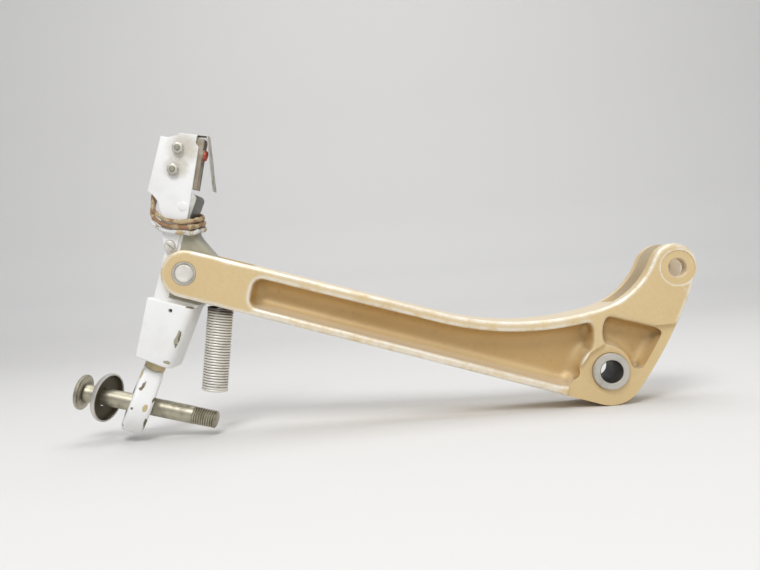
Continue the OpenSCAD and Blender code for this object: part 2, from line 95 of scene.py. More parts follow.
class ArmSizes(bpy.types.PropertyGroup):
    """Sizes of the forged arm"""

    span: length("Span", "From the pivot to the link pin", 189.5)
    tilt: angle("Tilt", "Rise of the arm towards the link pin", 17.5)
    thickness: length("Thickness", "Over the flanges", 25.4)
    fork_r: length("Fork radius", "Round the link pin", 10.2)
    heel_r: length("Heel radius", "Round the pivot", 14.8)
    ear_r: length("Ear radius", "Round of the clevis ears", 9.7)
    ear_along: length("Ear along", "Clevis hole past the pivot", 17.4)
    ear_rise: length("Ear rise", "Clevis hole above the arm line", 50.2)
    sweep_r: length("Sweep radius", "Long curve of the upper edge", 129)
    sweep_back: length("Sweep start", "Back from the pivot", 74.8)
    sweep_height: length("Sweep height", "Upper edge where the long curve starts", 8.3)
    throat_r: length("Throat radius", "Tight curve under the clevis", 35)
    side_r: length("Side radius", "Bowed edge from the clevis to the heel", 180)
    flange: length("Flange", "Width of the flanges", 4.2)
    web: length("Web", "Thickness between the pockets", 5.4)
    pocket_start: length("Pocket start", "From the link pin", 30)
    boss_r: length("Boss radius", "Round the pivot bush", 11.6)
    rib: length("Rib", "Width of the rib above the boss", 4.3)
    heel_step: length("Heel step", "Heel faces below the flange faces", 1.9)
    fork_slot: length("Fork slot", "Between the fork's ears", 16.4)
    fork_depth: length("Fork depth", "Slot behind the link pin", 27)
    clevis_slot: length("Clevis slot", "Between the clevis ears", 12.7)
    clevis_depth: length("Clevis depth", "Slot below the clevis hole", 13.5)
    clevis_bore: length("Clevis hole", "Diameter", 8)
    bush_od: length("Bush", "Outside diameter of the pivot bush", 16)
    bush_bore: length("Bush bore", "Bore of the pivot bush", 9.6)
    pin_d: length("Link pin", "Diameter", 8.4)
    pin_bush_od: length("Pin bush", "Outside diameter", 10.4)


class LinkSizes(bpy.types.PropertyGroup):
    """Sizes of the link, the eye, the bolt and the spring"""

    lean: angle("Lean", "Lean of the link", 18.3)
    tongue: length("Tongue", "Thickness between the fork's ears", 15.9)
    depth: length("Block depth", "Front to back", 22)
    top_w: length("Block top", "Width at the top", 19)
    foot_w: length("Block foot", "Width at the bottom", 15.5)
    block: length("Block length", "Along the link", 26.5)
    drop: length("Block drop", "From the link pin to the block", 13.6)
    edge: length("Left edge", "From the link pin", 11.6)
    post: length("Post", "Height above the link pin", 34.5)
    post_w: length("Post width", "Left to right", 8.4)
    horn_t: length("Horn", "Thickness of the spring's horn", 3.2)
    eye_tilt: angle("Eye tilt", "Eye against the link", 7.5)
    eye_turn: angle("Eye turn", "Eye round its shank, to the back", 15.5)
    eye_len: length("Eye length", "From the shank's top to the eye's centre", 45.5)
    eye_t: length("Eye thickness", "Across the eye", 9.5)
    eye_r: length("Eye radius", "Outside", 12.5)
    neck_d: length("Neck", "Diameter of the bare neck", 9.2)
    ball_r: length("Ball", "Radius", 8.4)
    bolt_d: length("Bolt", "Diameter", 7.9)
    bolt_tilt: angle("Bolt tilt", "Bolt against the eye", 11)
    bolt_turn: angle("Bolt turn", "Bolt out of the link's plane, to the front", 7)
    bolt_back: length("Bolt back", "Eye to the head", 26)
    bolt_front: length("Bolt front", "Eye to the threaded end", 36)
    thread: length("Thread", "Threaded length", 11)
    head_d: length("Head", "Diameter of the bolt's head", 16)
    washer_d: length("Washer", "Diameter of the dished washer", 22)
    spring_od: length("Spring", "Outside diameter", 11.7)
    wire_d: length("Wire", "Diameter of the spring's wire", 1.1)
    coil: length("Coil", "Length of the coiled body", 38)
    turns: IntProperty(name="Turns", description="Turns of the spring", default=31)
    spring_tilt: angle("Spring tilt", "Spring against the link", 9.3)


class SwitchSizes(bpy.types.PropertyGroup):
    """Sizes of the switch, its plate and its leads"""

    plate_t: length("Plate", "Thickness of the bracket plate", 1.2)
    plate_w: length("Plate width", "Head of the bracket plate", 16)
    plate_rise: length("Plate rise", "Above the post", 24.5)
    pitch: length("Screw pitch", "Between the switch screws", 9.5)
    screw_d: length("Screw", "Diameter of the switch screws", 2.2)
    nut_af: length("Nut", "Across the flats", 4.4)
    case_len: length("Case length", "Along the link", 20)
    case_h: length("Case height", "Terminals to plunger", 12.6)
    case_t: length("Case thickness", "With its cover", 6.4)
    leaf_t: length("Leaf", "Thickness", 0.5)
    leaf_w: length("Leaf width", "Front to back", 5.8)
    leaf_len: length("Leaf length", "Long blade", 24.2)
    lead_d: length("Lead", "Diameter", 1.7)


class Finishes(bpy.types.PropertyGroup):
    """Colours of the finishes"""

    gold: paint("Gold coat", "Satin coat of the arm", "dcc494")
    # The painted shade in the pockets, and also the coat's blotches and grain
    bronze_and_pocket_shade: paint("Pocket coat", "Coat in the pockets", "bf9a60")
    # Worn coat, and also the painted light on faces of the arm that look up and the painted highlight along its rims
    rubbed_and_lit: paint("Rubbed coat", "Where the coat has worn", "f0ece1")
    white: paint("White paint", "Paint of the link", "ededeb")
    primer: paint("Primer", "Under the white paint", "a89a7c")
    olive: paint("Bare casting", "Unpainted faces of the link", "aaa792")
    # Dark steel, and also the painted shade on the side faces of the post
    casting: paint("Dark casting", "Bare face of the post", "5c5b58")
    bare: paint("Bare steel", "Steel parts", "c2beb4")
    bolt: paint("Bolt", "Olive plating of the bolt", "c0baa6")
    # Old steel, and also the painted shade on the inner side of the spring's turns
    tarnish_and_shade: paint("Tarnish", "Old steel", "5d5646")
    brass: paint("Plated neck", "Yellow plating", "cdbb90")
    spring: paint("Spring wire", "Bright wire", "e6e3da")
    phenolic: paint("Switch body", "Moulded body", "a39783")
    cover: paint("Switch cover", "Moulded cover", "5d5346")
    plunger: paint("Plunger", "Moulded plunger", "c4513a")
    braid: paint("Leads", "Varnished braid", "cdb88f")
    sleeve: paint("Sleeves", "Brown stretches of the leads", "a8805d")
    # Dirt specks, and also the painted shade in corners, in bores, between braid strands and on the spring's top turns
    grime_and_shade: paint("Grime", "Dirt in corners", "3c352a")
    ground: paint("Ground", "Floor and backdrop", "dedddb")


# Places in the frame


def turn_y(way):
    return Matrix.Rotation(way, 4, "Y")


def shift(point, y=0):
    """A move to a point of the X-Z plane, in millimetres."""
    return Matrix.Translation((point[0], y, point[1]))


def frame_shift(point):
    """The same move in the frame's metres."""
    return Matrix.Translation(Vector((point[0], 0, point[1])) / MM)


def arm_place():
    arm = bpy.context.scene.bellcrank_arm
    pin = Vector((-arm.span * math.cos(arm.tilt), 0, arm.span * math.sin(arm.tilt)))
    return Matrix.Translation(pin) @ turn_y(arm.tilt)


def link_place():
    scene = bpy.context.scene
    return arm_place() @ turn_y(scene.bellcrank_link.lean - scene.bellcrank_arm.tilt)


def shank_place():
    return link_place() @ frame_shift(EYE_TOP) @ turn_y(bpy.context.scene.bellcrank_link.eye_tilt)


def eye_place():
    return shank_place() @ Matrix.Rotation(bpy.context.scene.bellcrank_link.eye_turn, 4, "Z")


def bolt_place():
    link = bpy.context.scene.bellcrank_link
    turn = Matrix.Rotation(-link.bolt_turn, 4, "Z") @ turn_y(-link.bolt_tilt)
    return shank_place() @ Matrix.Translation((0, 0, -link.eye_len)) @ turn


# The round of the clevis ears is off the clevis hole by this much, along the arm and up from it
EAR_SHIFT = (-1.3, 0.4)
# Where things sit on the link, in millimetres from the link pin: right and up; R is a radius
EYE_TOP = (-2.3, -17)
HORN = (15.3, -4)
HORN_HOLE_R = 1.7
TAB_SCREW = (-9.4, 10.2)
TAB_R = 3
PLATE_LEFT = -24.5
CASE_LEFT = -18.4
SCREW_U = -15.7
# Up from the post's top: the case's foot, the middle of the switch screws, and the rivet, which lies below it
CASE_FOOT = 3.1
SCREW_RISE = 12.9
RIVET_U, RIVET_RISE = -8, -6.3
# The switch: its screw holes, its terminals' pitch, and how far the case and the leaf rise at the hinge
SCREW_HOLE_R = 1.12
TERMINAL_PITCH = 4.7
CASE_RISE = 1.2
LEAF_LIFT = 1.2
# The paint on the eye ends this far below the shank's top
NECK_END = 28.4
# Lathe pieces are turned round Y; these lay them along X and Z
ALONG_X = Matrix.Rotation(math.radians(-90), 4, "Z")
ALONG_Z = Matrix.Rotation(math.radians(90), 4, "X")


def sizes_mm(group):
    """The group's lengths in millimetres and its angles in radians, by name."""
    out = {}
    for key, prop in group.bl_rna.properties.items():
        if prop.type == "FLOAT" and not prop.is_array:
            out[key] = getattr(group, key) * (MM if prop.unit == "LENGTH" else 1)
        elif prop.type == "INT":
            out[key] = getattr(group, key)
    return out


def screw_spots(link, switch):
    """The lower and the upper switch screw, from the link pin."""
    return [(SCREW_U, link["post"] + SCREW_RISE + side * switch["pitch"] / 2) for side in (-1, 1)]


# Plane geometry


def bearing(v):
    return math.atan2(v[1], v[0])


def rectangle(x0, z0, x1, z1):
    return [(x0, z0), (x1, z0), (x1, z1), (x0, z1)]


def arc(centre, r, start, end, steps):
    turn = np.linspace(start, end, steps + 1)
    return [(centre[0] + r * math.cos(a), centre[1] + r * math.sin(a)) for a in turn]


def tangent_bearing(c1, r1, c2, r2, side):
    d = np.subtract(c2, c1)
    span = np.hypot(*d)
    k = (r1 - r2) / span
    e = d / span
    return bearing(k * e + side * math.sqrt(1 - k * k) * np.array((-e[1], e[0])))


def circles_meet(c1, r1, c2, r2):
    c1, c2 = np.array(c1, float), np.array(c2, float)
    span = np.hypot(*(c2 - c1))
    e = (c2 - c1) / span
    a = (span * span + r1 * r1 - r2 * r2) / (2 * span)
    return c1 + a * e - math.sqrt(r1 * r1 - a * a) * np.array((-e[1], e[0]))


def arm_points(a, inset):
    """The arm's outline, a distance inside its edge: six arcs and their common tangents."""
    fork_c, pivot_c = (0, 0), (a["span"], 0)
    ear_c = (a["span"] + a["ear_along"] + EAR_SHIFT[0], a["ear_rise"] + EAR_SHIFT[1])
    side_c = circles_meet(ear_c, a["side_r"] - a["ear_r"], pivot_c, a["side_r"] - a["heel_r"])
    sweep_c = (a["span"] - a["sweep_back"], a["sweep_height"] + a["sweep_r"])
    throat_c = circles_meet(sweep_c, a["sweep_r"] - a["throat_r"], ear_c, a["throat_r"] + a["ear_r"])
    fork, heel, ear = a["fork_r"] - inset, a["heel_r"] - inset, a["ear_r"] - inset
    sweep, throat = a["sweep_r"] + inset, a["throat_r"] + inset
    up = tangent_bearing(fork_c, fork, sweep_c, -sweep, 1)
    low = tangent_bearing(fork_c, fork, pivot_c, heel, -1)
    ear_end, heel_end = bearing(ear_c - side_c), bearing(pivot_c - side_c)
    dip = bearing(throat_c - np.array(sweep_c))
    lift = bearing(np.array(ear_c) - throat_c)
    return (
        arc(fork_c, fork, low, up - TURN, 40)
        + arc(sweep_c, sweep, up - math.pi, dip, 40)
        + arc(throat_c, throat, dip, lift, 30)
        + arc(ear_c, ear, lift + math.pi, ear_end, 40)
        + arc(side_c, a["side_r"] - inset, ear_end, heel_end, 24)
        + arc(pivot_c, heel, heel_end, low, 24)
    )


def bar_points(c1, r1, c2, r2, steps=16):
    """Two circles and their common tangents."""
    left, right = tangent_bearing(c1, r1, c2, r2, 1), tangent_bearing(c1, r1, c2, r2, -1)
    if left < right:
        left += TURN
    return arc(c2, r2, left, right, steps) + arc(c1, r1, right, left - TURN, steps)


# Modelling


def deselect():
    if bpy.context.object and bpy.context.object.mode != "OBJECT":
        bpy.ops.object.mode_set(mode="OBJECT")
    bpy.ops.object.select_all(action="DESELECT")


def take(piece):
    """Selects one piece alone, for the operators."""
    deselect()
    piece.select_set(True)
    bpy.context.view_layer.objects.active = piece


def edit(piece, mode="VERT"):
    """Opens a piece in edit mode, selected all over."""
    take(piece)
    bpy.ops.object.mode_set(mode="EDIT")
    bpy.ops.mesh.select_mode(type=mode)
    bpy.ops.mesh.select_all(action="SELECT")


def done():
    bpy.ops.object.mode_set(mode="OBJECT")
    return bpy.context.object


def started(name):
    """Names what an operator has just added."""
    piece = bpy.context.object
    piece.name = name
    piece.data.name = name
    return piece


def point_rows(piece, name="co"):
    """The place ("co") or the normal of each point, one row each."""
    flat = np.zeros(len(piece.data.vertices) * 3)
    piece.data.vertices.foreach_get(name, flat)
    return flat.reshape(-1, 3)


def face_outwards():
    """Turns the faces of the piece in edit mode outwards, and ends the edit."""
    bpy.ops.mesh.select_all(action="SELECT")
    bpy.ops.mesh.normals_make_consistent(inside=False)
    return done()


def loft(name, rings):
    """A skin over rings of points, from a grid that is wrapped round them; open ends are filled."""
    rows, cols = len(rings) - 1, len(rings[0])
    deselect()
    bpy.ops.mesh.primitive_grid_add(x_subdivisions=cols, y_subdivisions=rows, size=2, calc_uvs=True)
    piece = started(name)
    grid = point_rows(piece)
    col = np.rint((grid[:, 0] + 1) / 2 * cols).astype(int) % cols
    row = np.rint((grid[:, 1] + 1) / 2 * rows).astype(int)
    piece.data.vertices.foreach_set("co", np.array(rings, float)[row, col].ravel())
    edit(piece)
    bpy.ops.mesh.remove_doubles(threshold=MERGE)
    bpy.ops.mesh.select_all(action="SELECT")
    bpy.ops.mesh.fill_holes(sides=0)
    return face_outwards()


def hoop(along, radius, steps=ROUND):
    """A ring of points round Y; the radius is one number, or one for each point."""
    ways = np.linspace(0, TURN, steps, endpoint=False)
    return [(r * math.sin(w), along, r * math.cos(w)) for w, r in zip(ways, np.broadcast_to(radius, steps))]


def turned(name, profile, steps=ROUND, closed=False):
    """A piece turned round Y from a profile of (along, radius) points."""
    points = list(profile) + ([profile[0]] if closed else [])
    return loft(name, [hoop(x, r, steps) for x, r in points])


def both_ends(profile):
    """A profile and its mirror image at the other end."""
    return profile + [(-x, r) for x, r in reversed(profile)]


def plain_hole(r, start=-FAR, end=FAR):
    return [(start, 0), (start, r), (end, r), (end, 0)]


def swept(name, path, radius, sides):
    """A round rod along a path, with a frame carried along it so that it doesn't twist."""
    path = np.array(path, float)
    radius = np.broadcast_to(radius, len(path))
    heading = np.gradient(path, axis=0)
    heading /= np.linalg.norm(heading, axis=1)[:, None]
    normal = np.cross(heading[0], (0.3, 0.5, 0.8))
    ways = np.linspace(0, TURN, sides, endpoint=False)
    rings = []
    for point, way, r in zip(path, heading, radius):
        normal = normal - way * (normal @ way)
        normal /= np.linalg.norm(normal)
        side = np.cross(way, normal)
        rings.append([point + r * (math.cos(w) * normal + math.sin(w) * side) for w in ways])
    return loft(name, rings)


def smooth_path(points, steps):
    """A smooth curve through points, with a number of steps between each two."""
    path = []
    for n in range(len(points) - 1):
        a, b, d, e = points[max(n - 1, 0)], points[n], points[n + 1], points[min(n + 2, len(points) - 1)]
        for t in np.linspace(0, 1, steps, endpoint=False):
            square, cube = (2 * a - 5 * b + 4 * d - e) * t**2, (3 * b - a - 3 * d + e) * t**3
            path.append(0.5 * (2 * b + (d - a) * t + square + cube))
    return np.array(path + [points[-1]])


def prism(name, points, y0, y1):
    """An outline in X-Z, extruded along Y."""
    deselect()
    bpy.ops.mesh.primitive_circle_add(vertices=len(points), fill_type="NGON")
    piece = started(name)
    for vert, (x, z) in zip(piece.data.vertices, points):
        vert.co = (x, y0, z)
    edit(piece)
    bpy.ops.mesh.extrude_region_move(TRANSFORM_OT_translate={"value": (0, y1 - y0, 0)})
    return face_outwards()


def box(name, low, high):
    low, high = Vector(low), Vector(high)
    deselect()
    bpy.ops.mesh.primitive_cube_add(size=1, location=(low + high) / 2, scale=high - low)
    bpy.ops.object.transform_apply(location=True, rotation=True, scale=True)
    return started(name)


def moved(piece, place):
    piece.data.transform(place)
    return piece


def apply_modifier(piece, kind, **settings):
    take(piece)
    modifier = piece.modifiers.new(kind.lower(), kind)
    for key, value in settings.items():
        setattr(modifier, key, value)
    bpy.ops.object.modifier_apply(modifier=modifier.name)


def combine(piece, other, operation="DIFFERENCE"):
    apply_modifier(piece, "BOOLEAN", operation=operation, object=other, solver="EXACT")
    bpy.data.objects.remove(other, do_unlink=True)


def drill(piece, profile, place=Matrix.Identity(4), steps=ROUND):
    """Cuts a turned hole into a piece."""
    combine(piece, moved(turned("hole", profile, steps), place))


def round_edges(piece, width, segments=3, limit=30, clamp=True):
    apply_modifier(
        piece, "BEVEL", width=width, segments=segments, limit_method="ANGLE", angle_limit=math.radians(limit),
        miter_outer="MITER_ARC", use_clamp_overlap=clamp,
    )


def forge(piece, voxel, passes):
    """Melts a shape's corners round, as a forging die does."""
    apply_modifier(piece, "REMESH", mode="VOXEL", voxel_size=voxel, adaptivity=0)
    apply_modifier(piece, "SMOOTH", factor=0.5, iterations=passes)


def copied(piece, name, by=(0, 0, 0)):
    """A copy with its own mesh, moved along."""
    take(piece)
    bpy.ops.object.duplicate()
    return moved(started(name), Matrix.Translation(by))


def joined(name, parts):
    take(parts[0])
    for part in parts:
        part.select_set(True)
    bpy.ops.object.join()
    return started(name)


def mark(piece, name, values):
    """Stores a number at each point of a piece, for its finish to read."""
    piece.data.attributes.new(name, "FLOAT", "POINT").data.foreach_set("value", values.astype(np.float32))


def mark_edges(piece, passes, flat):
    """Stores how far each point stands out (1) or lies in a corner (-1), for wear, painted highlights on rims and
    painted shade in corners; 0 on faces past flat.
    """
    mesh = piece.data
    count = len(mesh.vertices)
    co, normal = point_rows(piece), point_rows(piece, "normal")
    ends = np.zeros(len(mesh.edges) * 2, int)
    mesh.edges.foreach_get("vertices", ends)
    a, b = ends.reshape(-1, 2).T
    step = co[b] - co[a]
    square = np.maximum((step * step).sum(1), 1e-6)
    bend, near = np.zeros(count), np.zeros(count)
    for here, share in ((a, -2), (b, 2)):
        np.add.at(bend, here, share * (normal[here] * step).sum(1) / square)
        np.add.at(near, here, 1)
    bend = np.clip(bend / np.maximum(near, 1) * EDGE_SIZE, -1, 1)
    for face in mesh.polygons:
        if face.area > flat:
            bend[list(face.vertices)] = 0
    for _ in range(passes):
        total = bend.copy()
        np.add.at(total, a, bend[b])
        np.add.at(total, b, bend[a])
        bend = total / (near + 1)
    mark(piece, "edge", bend)


def mark_pockets(piece, points, depth, up):
    """Stores how far faces look up, for painted light from above, and 1 inside the outline below a depth, for painted
    shade in the pockets.
    """
    x, y, z = point_rows(piece).T
    inside = np.zeros(len(x), bool)
    for (x0, z0), (x1, z1) in zip(points, points[1:] + points[:1]):
        if z0 != z1:
            inside ^= ((z0 > z) != (z1 > z)) & (x < (x1 - x0) * (z - z0) / (z1 - z0) + x0)
    lift = point_rows(piece, "normal") @ up
    mark(piece, "lift", lift)
    # Painted shade in the pockets, weaker where faces look up: painted light from above
    mark(piece, "pocket", inside * np.clip((depth - abs(y)) / 4, 0, 1) * (1 - 0.85 * np.clip(lift / 0.4, 0, 1)))


def settle(piece, place, body, finish, nodes, smooth=35, passes=1, flat=math.inf):
    """Puts a finished piece into the frame, with its finish, on its body, in place of its nodes."""
    mark_edges(piece, passes, flat)
    moved(piece, place @ Matrix.Scale(1 / MM, 4))
    take(piece)
    bpy.ops.object.shade_smooth_by_angle(angle=math.radians(smooth))
    piece.data.materials.clear()
    piece.data.materials.append(finish)
    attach(piece, body)
    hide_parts(*nodes)


# Finishes


class Value:
    """A number in a material: Python's operators on it add Math nodes."""

    def __init__(self, shade, socket):
        self.shade, self.socket = shade, socket

    def math(self, operation, *others):
        node = self.shade.add("ShaderNodeMath", {"operation": operation}, dict(enumerate((self, *others))))
        return Value(self.shade, node.outputs[0])

    def __add__(self, other):
        return self.math("ADD", other)

    def __sub__(self, other):
        return self.math("SUBTRACT", other)

    def __rsub__(self, other):
        return (self * -1) + other

    def __mul__(self, other):
        return self.math("MULTIPLY", other)

    def __pow__(self, other):
        return self.math("POWER", other)

    def __abs__(self):
        return self.math("ABSOLUTE")

    __radd__ = __add__
    __rmul__ = __mul__

    def band(self, low, high):
        """0 below low, 1 above high, smooth between."""
        node = self.shade.add("ShaderNodeMapRange", {"interpolation_type": "SMOOTHSTEP"},
                              {"Value": self, "From Min": low, "From Max": high})
        return Value(self.shade, node.outputs["Result"])


class Shade:
    """A material and the nodes that make it."""

    def __init__(self, name):
        self.material = bpy.data.materials.new(name)
        self.material.use_nodes = True
        self.tree = self.material.node_tree
        self.surface = self.tree.nodes["Principled BSDF"]
        self.where = self.add("ShaderNodeTexCoord").outputs["Object"]
        parts = self.add("ShaderNodeSeparateXYZ", {}, {"Vector": self.where}).outputs
        self.x, self.y, self.z = (Value(self, parts[i]) for i in range(3))

    def add(self, kind, settings=None, inputs=None):
        node = self.tree.nodes.new(kind)
        for key, value in (settings or {}).items():
            setattr(node, key, value)
        for key, value in (inputs or {}).items():
            self.set(node.inputs[key], value)
        return node

    def set(self, socket, value):
        value = getattr(value, "socket", value)
        if isinstance(value, bpy.types.NodeSocket):
            self.tree.links.new(value, socket)
        elif socket.type == "RGBA":
            socket.default_value = (*tuple(value)[:3], 1)
        else:
            socket.default_value = value

    def noise(self, size, detail=4, rough=0.55, stretch=(1, 1, 1), seed=0):
        """Cloudy values from 0 to 1, with blotches about a size in millimetres."""
        move = self.add("ShaderNodeMapping", {}, {
            "Vector": self.where, "Location": (seed, seed * 0.7, seed * 1.3), "Scale": stretch}).outputs[0]
        node = self.add("ShaderNodeTexNoise", {}, {
            "Vector": move, "Scale": MM / size, "Detail": detail, "Roughness": rough})
        return Value(self, node.outputs["Fac"])

    def stored(self, name):
        return Value(self, self.add("ShaderNodeAttribute", {"attribute_name": name}).outputs["Fac"])

    def edge(self):
        return self.stored("edge")

    def plane(self, place):
        """Right and up, in millimetres, in the X-Z plane of a place in the frame."""
        at, turn = place.translation, math.asin(-place.to_3x3()[2][0])
        right = (self.x - at.x) * (math.cos(turn) * MM) - (self.z - at.z) * (math.sin(turn) * MM)
        up = (self.x - at.x) * (math.sin(turn) * MM) + (self.z - at.z) * (math.cos(turn) * MM)
        return right, up

    def away(self, place, at, size):
        """Squared distance from a point of a place's plane, counted in sizes."""
        right, up = self.plane(place)
        return ((right - at[0]) * (1 / size[0])) ** 2 + ((up - at[1]) * (1 / size[1])) ** 2

    def spot(self, place, at, size, ragged, wander):
        """1 in a ragged spot at a point of a place's plane, 0 round it."""
        return 1 - (self.away(place, at, size) + (ragged - 0.5) * (4 * wander)).band(0.75, 1.0)

    def mix(self, share, first, second):
        node = self.add("ShaderNodeMix", {"data_type": "RGBA"}, {0: share, 6: first, 7: second})
        return node.outputs[2]

    def bump(self, height, depth, strength):
        """Normal from a height, with a depth in millimetres."""
        node = self.add("ShaderNodeBump", {}, {"Height": height, "Distance": depth / MM, "Strength": strength})
        return node.outputs[0]

    def finish(self, **inputs):
        for key, value in inputs.items():
            self.set(self.surface.inputs[key.replace("_", " ")], value)
        return self.material


def colours():
    return bpy.context.scene.bellcrank_finishes


def gold_coat():
    """Satin gold coat: painted shade in the pockets, paler where faces look up as painted light, rims worn pale with a
    painted highlight, dirt spots in the pockets and painted shade in corners.
    """
    c = colours()
    s = Shade("gold_coat")
    blotch, grain, scuff = s.noise(38, 4), s.noise(1.1, 3), s.noise(7, 6, 0.7, seed=3)
    pocket = s.stored("pocket")
    edge = s.edge()
    near_heel = s.spot(arm_place(), (194, 14), (19, 17), blotch, 0.2)
    near_pin = s.spot(arm_place(), (0, 0), (7.5, 7.5), blotch, 0)
    # Rims: worn pale, with a painted highlight along the rounded edges
    rim = edge.band(0.06, 0.4) * scuff.band(0.25, 0.6) * (1 - near_heel * 0.9) * (1 - near_pin)
    # Corners: painted shade
    corner = (edge * -1).band(0.1, 0.5)
    # The pockets take painted shade
    tone = s.mix(pocket * 0.75 + blotch.band(0.35, 0.75) * 0.14, c.gold, c.bronze_and_pocket_shade)
    tone = s.mix(grain.band(0.3, 0.75) * 0.12, tone, c.bronze_and_pocket_shade)
    tone = s.mix(scuff.band(0.6, 0.8) * (0.3 - pocket * 0.2), tone, c.rubbed_and_lit)
    tone = s.mix(pocket * s.noise(4.5, 5, 0.65, seed=6).band(0.55, 0.75) * 0.18, tone, c.grime_and_shade)
    # Faces that look up are paler: painted light from above
    tone = s.mix(s.stored("lift").band(0.55, 0.95) * 0.4, tone, c.rubbed_and_lit)
    tone = s.mix(rim * 0.8, tone, c.rubbed_and_lit)
    tone = s.mix(corner * 0.35, tone, c.grime_and_shade)
    # The faces of the clevis slot are cut bare
    _, up = s.plane(arm_place())
    slot = (1 - abs(s.y).band(0.0062, 0.0067)) * up.band(25, 36)
    tone = s.mix(slot * 0.65, tone, c.bare)
    drips = s.noise(2.6, 4, seed=8) * pocket
    return s.finish(
        Base_Color=tone, Metallic=0.3, Roughness=0.4 + grain * 0.12 + blotch * 0.1 - rim * 0.06 - pocket * 0.08,
        Normal=s.bump(grain * 0.25 + scuff * 0.5 + drips * 4, 0.07, 0.5),
    )


def white_paint(name, place=None, chips=(), bare=None, stains=(), wear=0.0):
    """White paint over primer: knocked edges, chips and stains in a place's plane, dirt specks, painted shade in
    corners, and bare places.
    """
    c = colours()
    s = Shade(name)
    cloud, fleck, speck = s.noise(14, 5), s.noise(2.6, 5, 0.65, seed=5), s.noise(0.8, 3, seed=2)
    edge = s.edge()
    worn = fleck + edge * 0.22 + cloud * 0.22 + wear
    chip, deep = worn.band(0.93, 0.95), worn.band(0.99, 1.01)
    # Corners: painted shade
    corner = (edge * -1).band(0.08, 0.5)
    # The given chips lie on the front only
    front = 1 - s.y.band(-0.004, -0.002)
    tone = s.mix(cloud.band(0.48, 0.8) * 0.16, c.white, c.primer)
    for at, size in stains:
        tone = s.mix((1 - (s.away(place, at, size) + fleck).band(0.3, 1.8)) * 0.6, tone, c.primer)
    tone = s.mix(speck.band(0.64, 0.76) * 0.12, tone, c.grime_and_shade)
    tone = s.mix(chip, tone, c.primer)
    tone = s.mix(deep, tone, c.tarnish_and_shade)
    height = 1 - chip
    for at, size, shade in chips:
        spot = s.spot(place, at, size, fleck * 0.45 + speck * 0.55, 0.9) * front
        tone = s.mix(spot, tone, s.mix(speck.band(0.35, 0.65) * 0.6, getattr(c, shade), c.primer))
        height = height - spot
    if bare:
        share, metal = bare(s, fleck, cloud)
        tone = s.mix(share, tone, s.mix(cloud.band(0.3, 0.75) * 0.6, metal, c.tarnish_and_shade))
        height = height - share * 0.5
    tone = s.mix(corner * 0.5, tone, c.grime_and_shade)
    return s.finish(
        Base_Color=tone, Metallic=deep * 0.5, Roughness=0.4 + chip * 0.2 + cloud * 0.1,
        Normal=s.bump(height + speck * 0.15, 0.1, 0.7),
    )


def bare_tongue(s, fleck, cloud):
    """The post and the right of the tongue were never painted."""
    right, up = s.plane(link_place())
    side = s.y.band(-0.0078, -0.0073)
    c = colours()
    # On the post the front is paler and the other faces are dark: painted light on the front and painted shade on the
    # sides
    pale = [(a + b) / 2 for a, b in zip(c.olive, c.white)]
    post = (up + cloud * 3).band(18.5, 21)
    metal = s.mix(post * side, s.mix(post, c.olive, pale), c.casting)
    return (right + (fleck - 0.5) * 1.4).band(-5.4, -5) * (up + cloud * 2).band(-11.5, -10.5), metal


def bare_neck(s, fleck, cloud):
    """The neck is bare above the paint."""
    _, up = s.plane(shank_place())
    return (up + (fleck - 0.5) * 1.6).band(-NECK_END - 0.1, -NECK_END + 0.1), colours().brass


def bare_steel(name, base, shade, rough=0.34, dirt=0.5, metallic=0.9, bore=0, rim=0, outer=None):
    """Bare steel with faint scratches and brown oxide, painted shade in corners and in a bore, and a painted highlight
    on worn rims.
    """
    s = Shade(name)
    cloud, scratch = s.noise(6, 5, seed=1), s.noise(0.5, 2, 0.5, stretch=(1, 0.12, 1))
    edge = s.edge()
    # Corners: painted shade
    corner = (edge * -1).band(0.05, 0.5)
    tone = s.mix(cloud.band(0.4, 0.75) * dirt, base, shade)
    tone = s.mix(corner * 0.6, tone, colours().grime_and_shade)
    # Rims: a painted highlight, with wear
    if rim:
        share = edge.band(0.12, 0.5) * rim
        tone = s.mix(share * s.stored(outer) if outer else share, tone, colours().spring)
    # Inside the bore: painted shade
    if bore:
        away = (s.x * s.x + s.z * s.z) ** 0.5 * MM
        tone = s.mix(1 - away.band(bore + 0.1, bore + 0.35), tone, colours().grime_and_shade)
    return s.finish(
        Base_Color=tone, Metallic=metallic, Roughness=rough + cloud * 0.22 + scratch * 0.08,
        Normal=s.bump(scratch + cloud * 0.5, 0.02, 0.4),
    )


def bright_wire():
    """Drawn wire: a painted highlight on the outside of the turns, painted shade between them and a painted shadow on
    the top turns under the arm.
    """
    c = colours()
    s = Shade("spring_wire")
    cloud, outer = s.noise(5, 4, seed=2), s.stored("outer")
    # Outside of the turns bright, inside dark: painted highlight and painted shade
    tone = s.mix(outer.band(0.3, 0.95), c.tarnish_and_shade, c.spring)
    tone = s.mix(cloud.band(0.52, 0.75) * 0.3, tone, c.tarnish_and_shade)
    # The top turns under the arm: painted shadow
    _, up = s.plane(link_place())
    tone = s.mix(up.band(-15, -12.5) * 0.85, tone, c.grime_and_shade)
    return s.finish(Base_Color=tone, Metallic=0.45, Roughness=0.36 + cloud * 0.15)


def moulded(name, base, shade, rough=0.45):
    """Moulded body with a fine grain, faint clouds and painted shade in corners."""
    s = Shade(name)
    cloud, grain = s.noise(5, 4), s.noise(0.5, 2)
    tone = s.mix(cloud.band(0.3, 0.8) * 0.5, base, shade)
    tone = s.mix((s.edge() * -1).band(0.05, 0.5) * 0.6, tone, colours().grime_and_shade)
    return s.finish(Base_Color=tone, Roughness=rough + grain * 0.15, Normal=s.bump(grain, 0.03, 0.5))


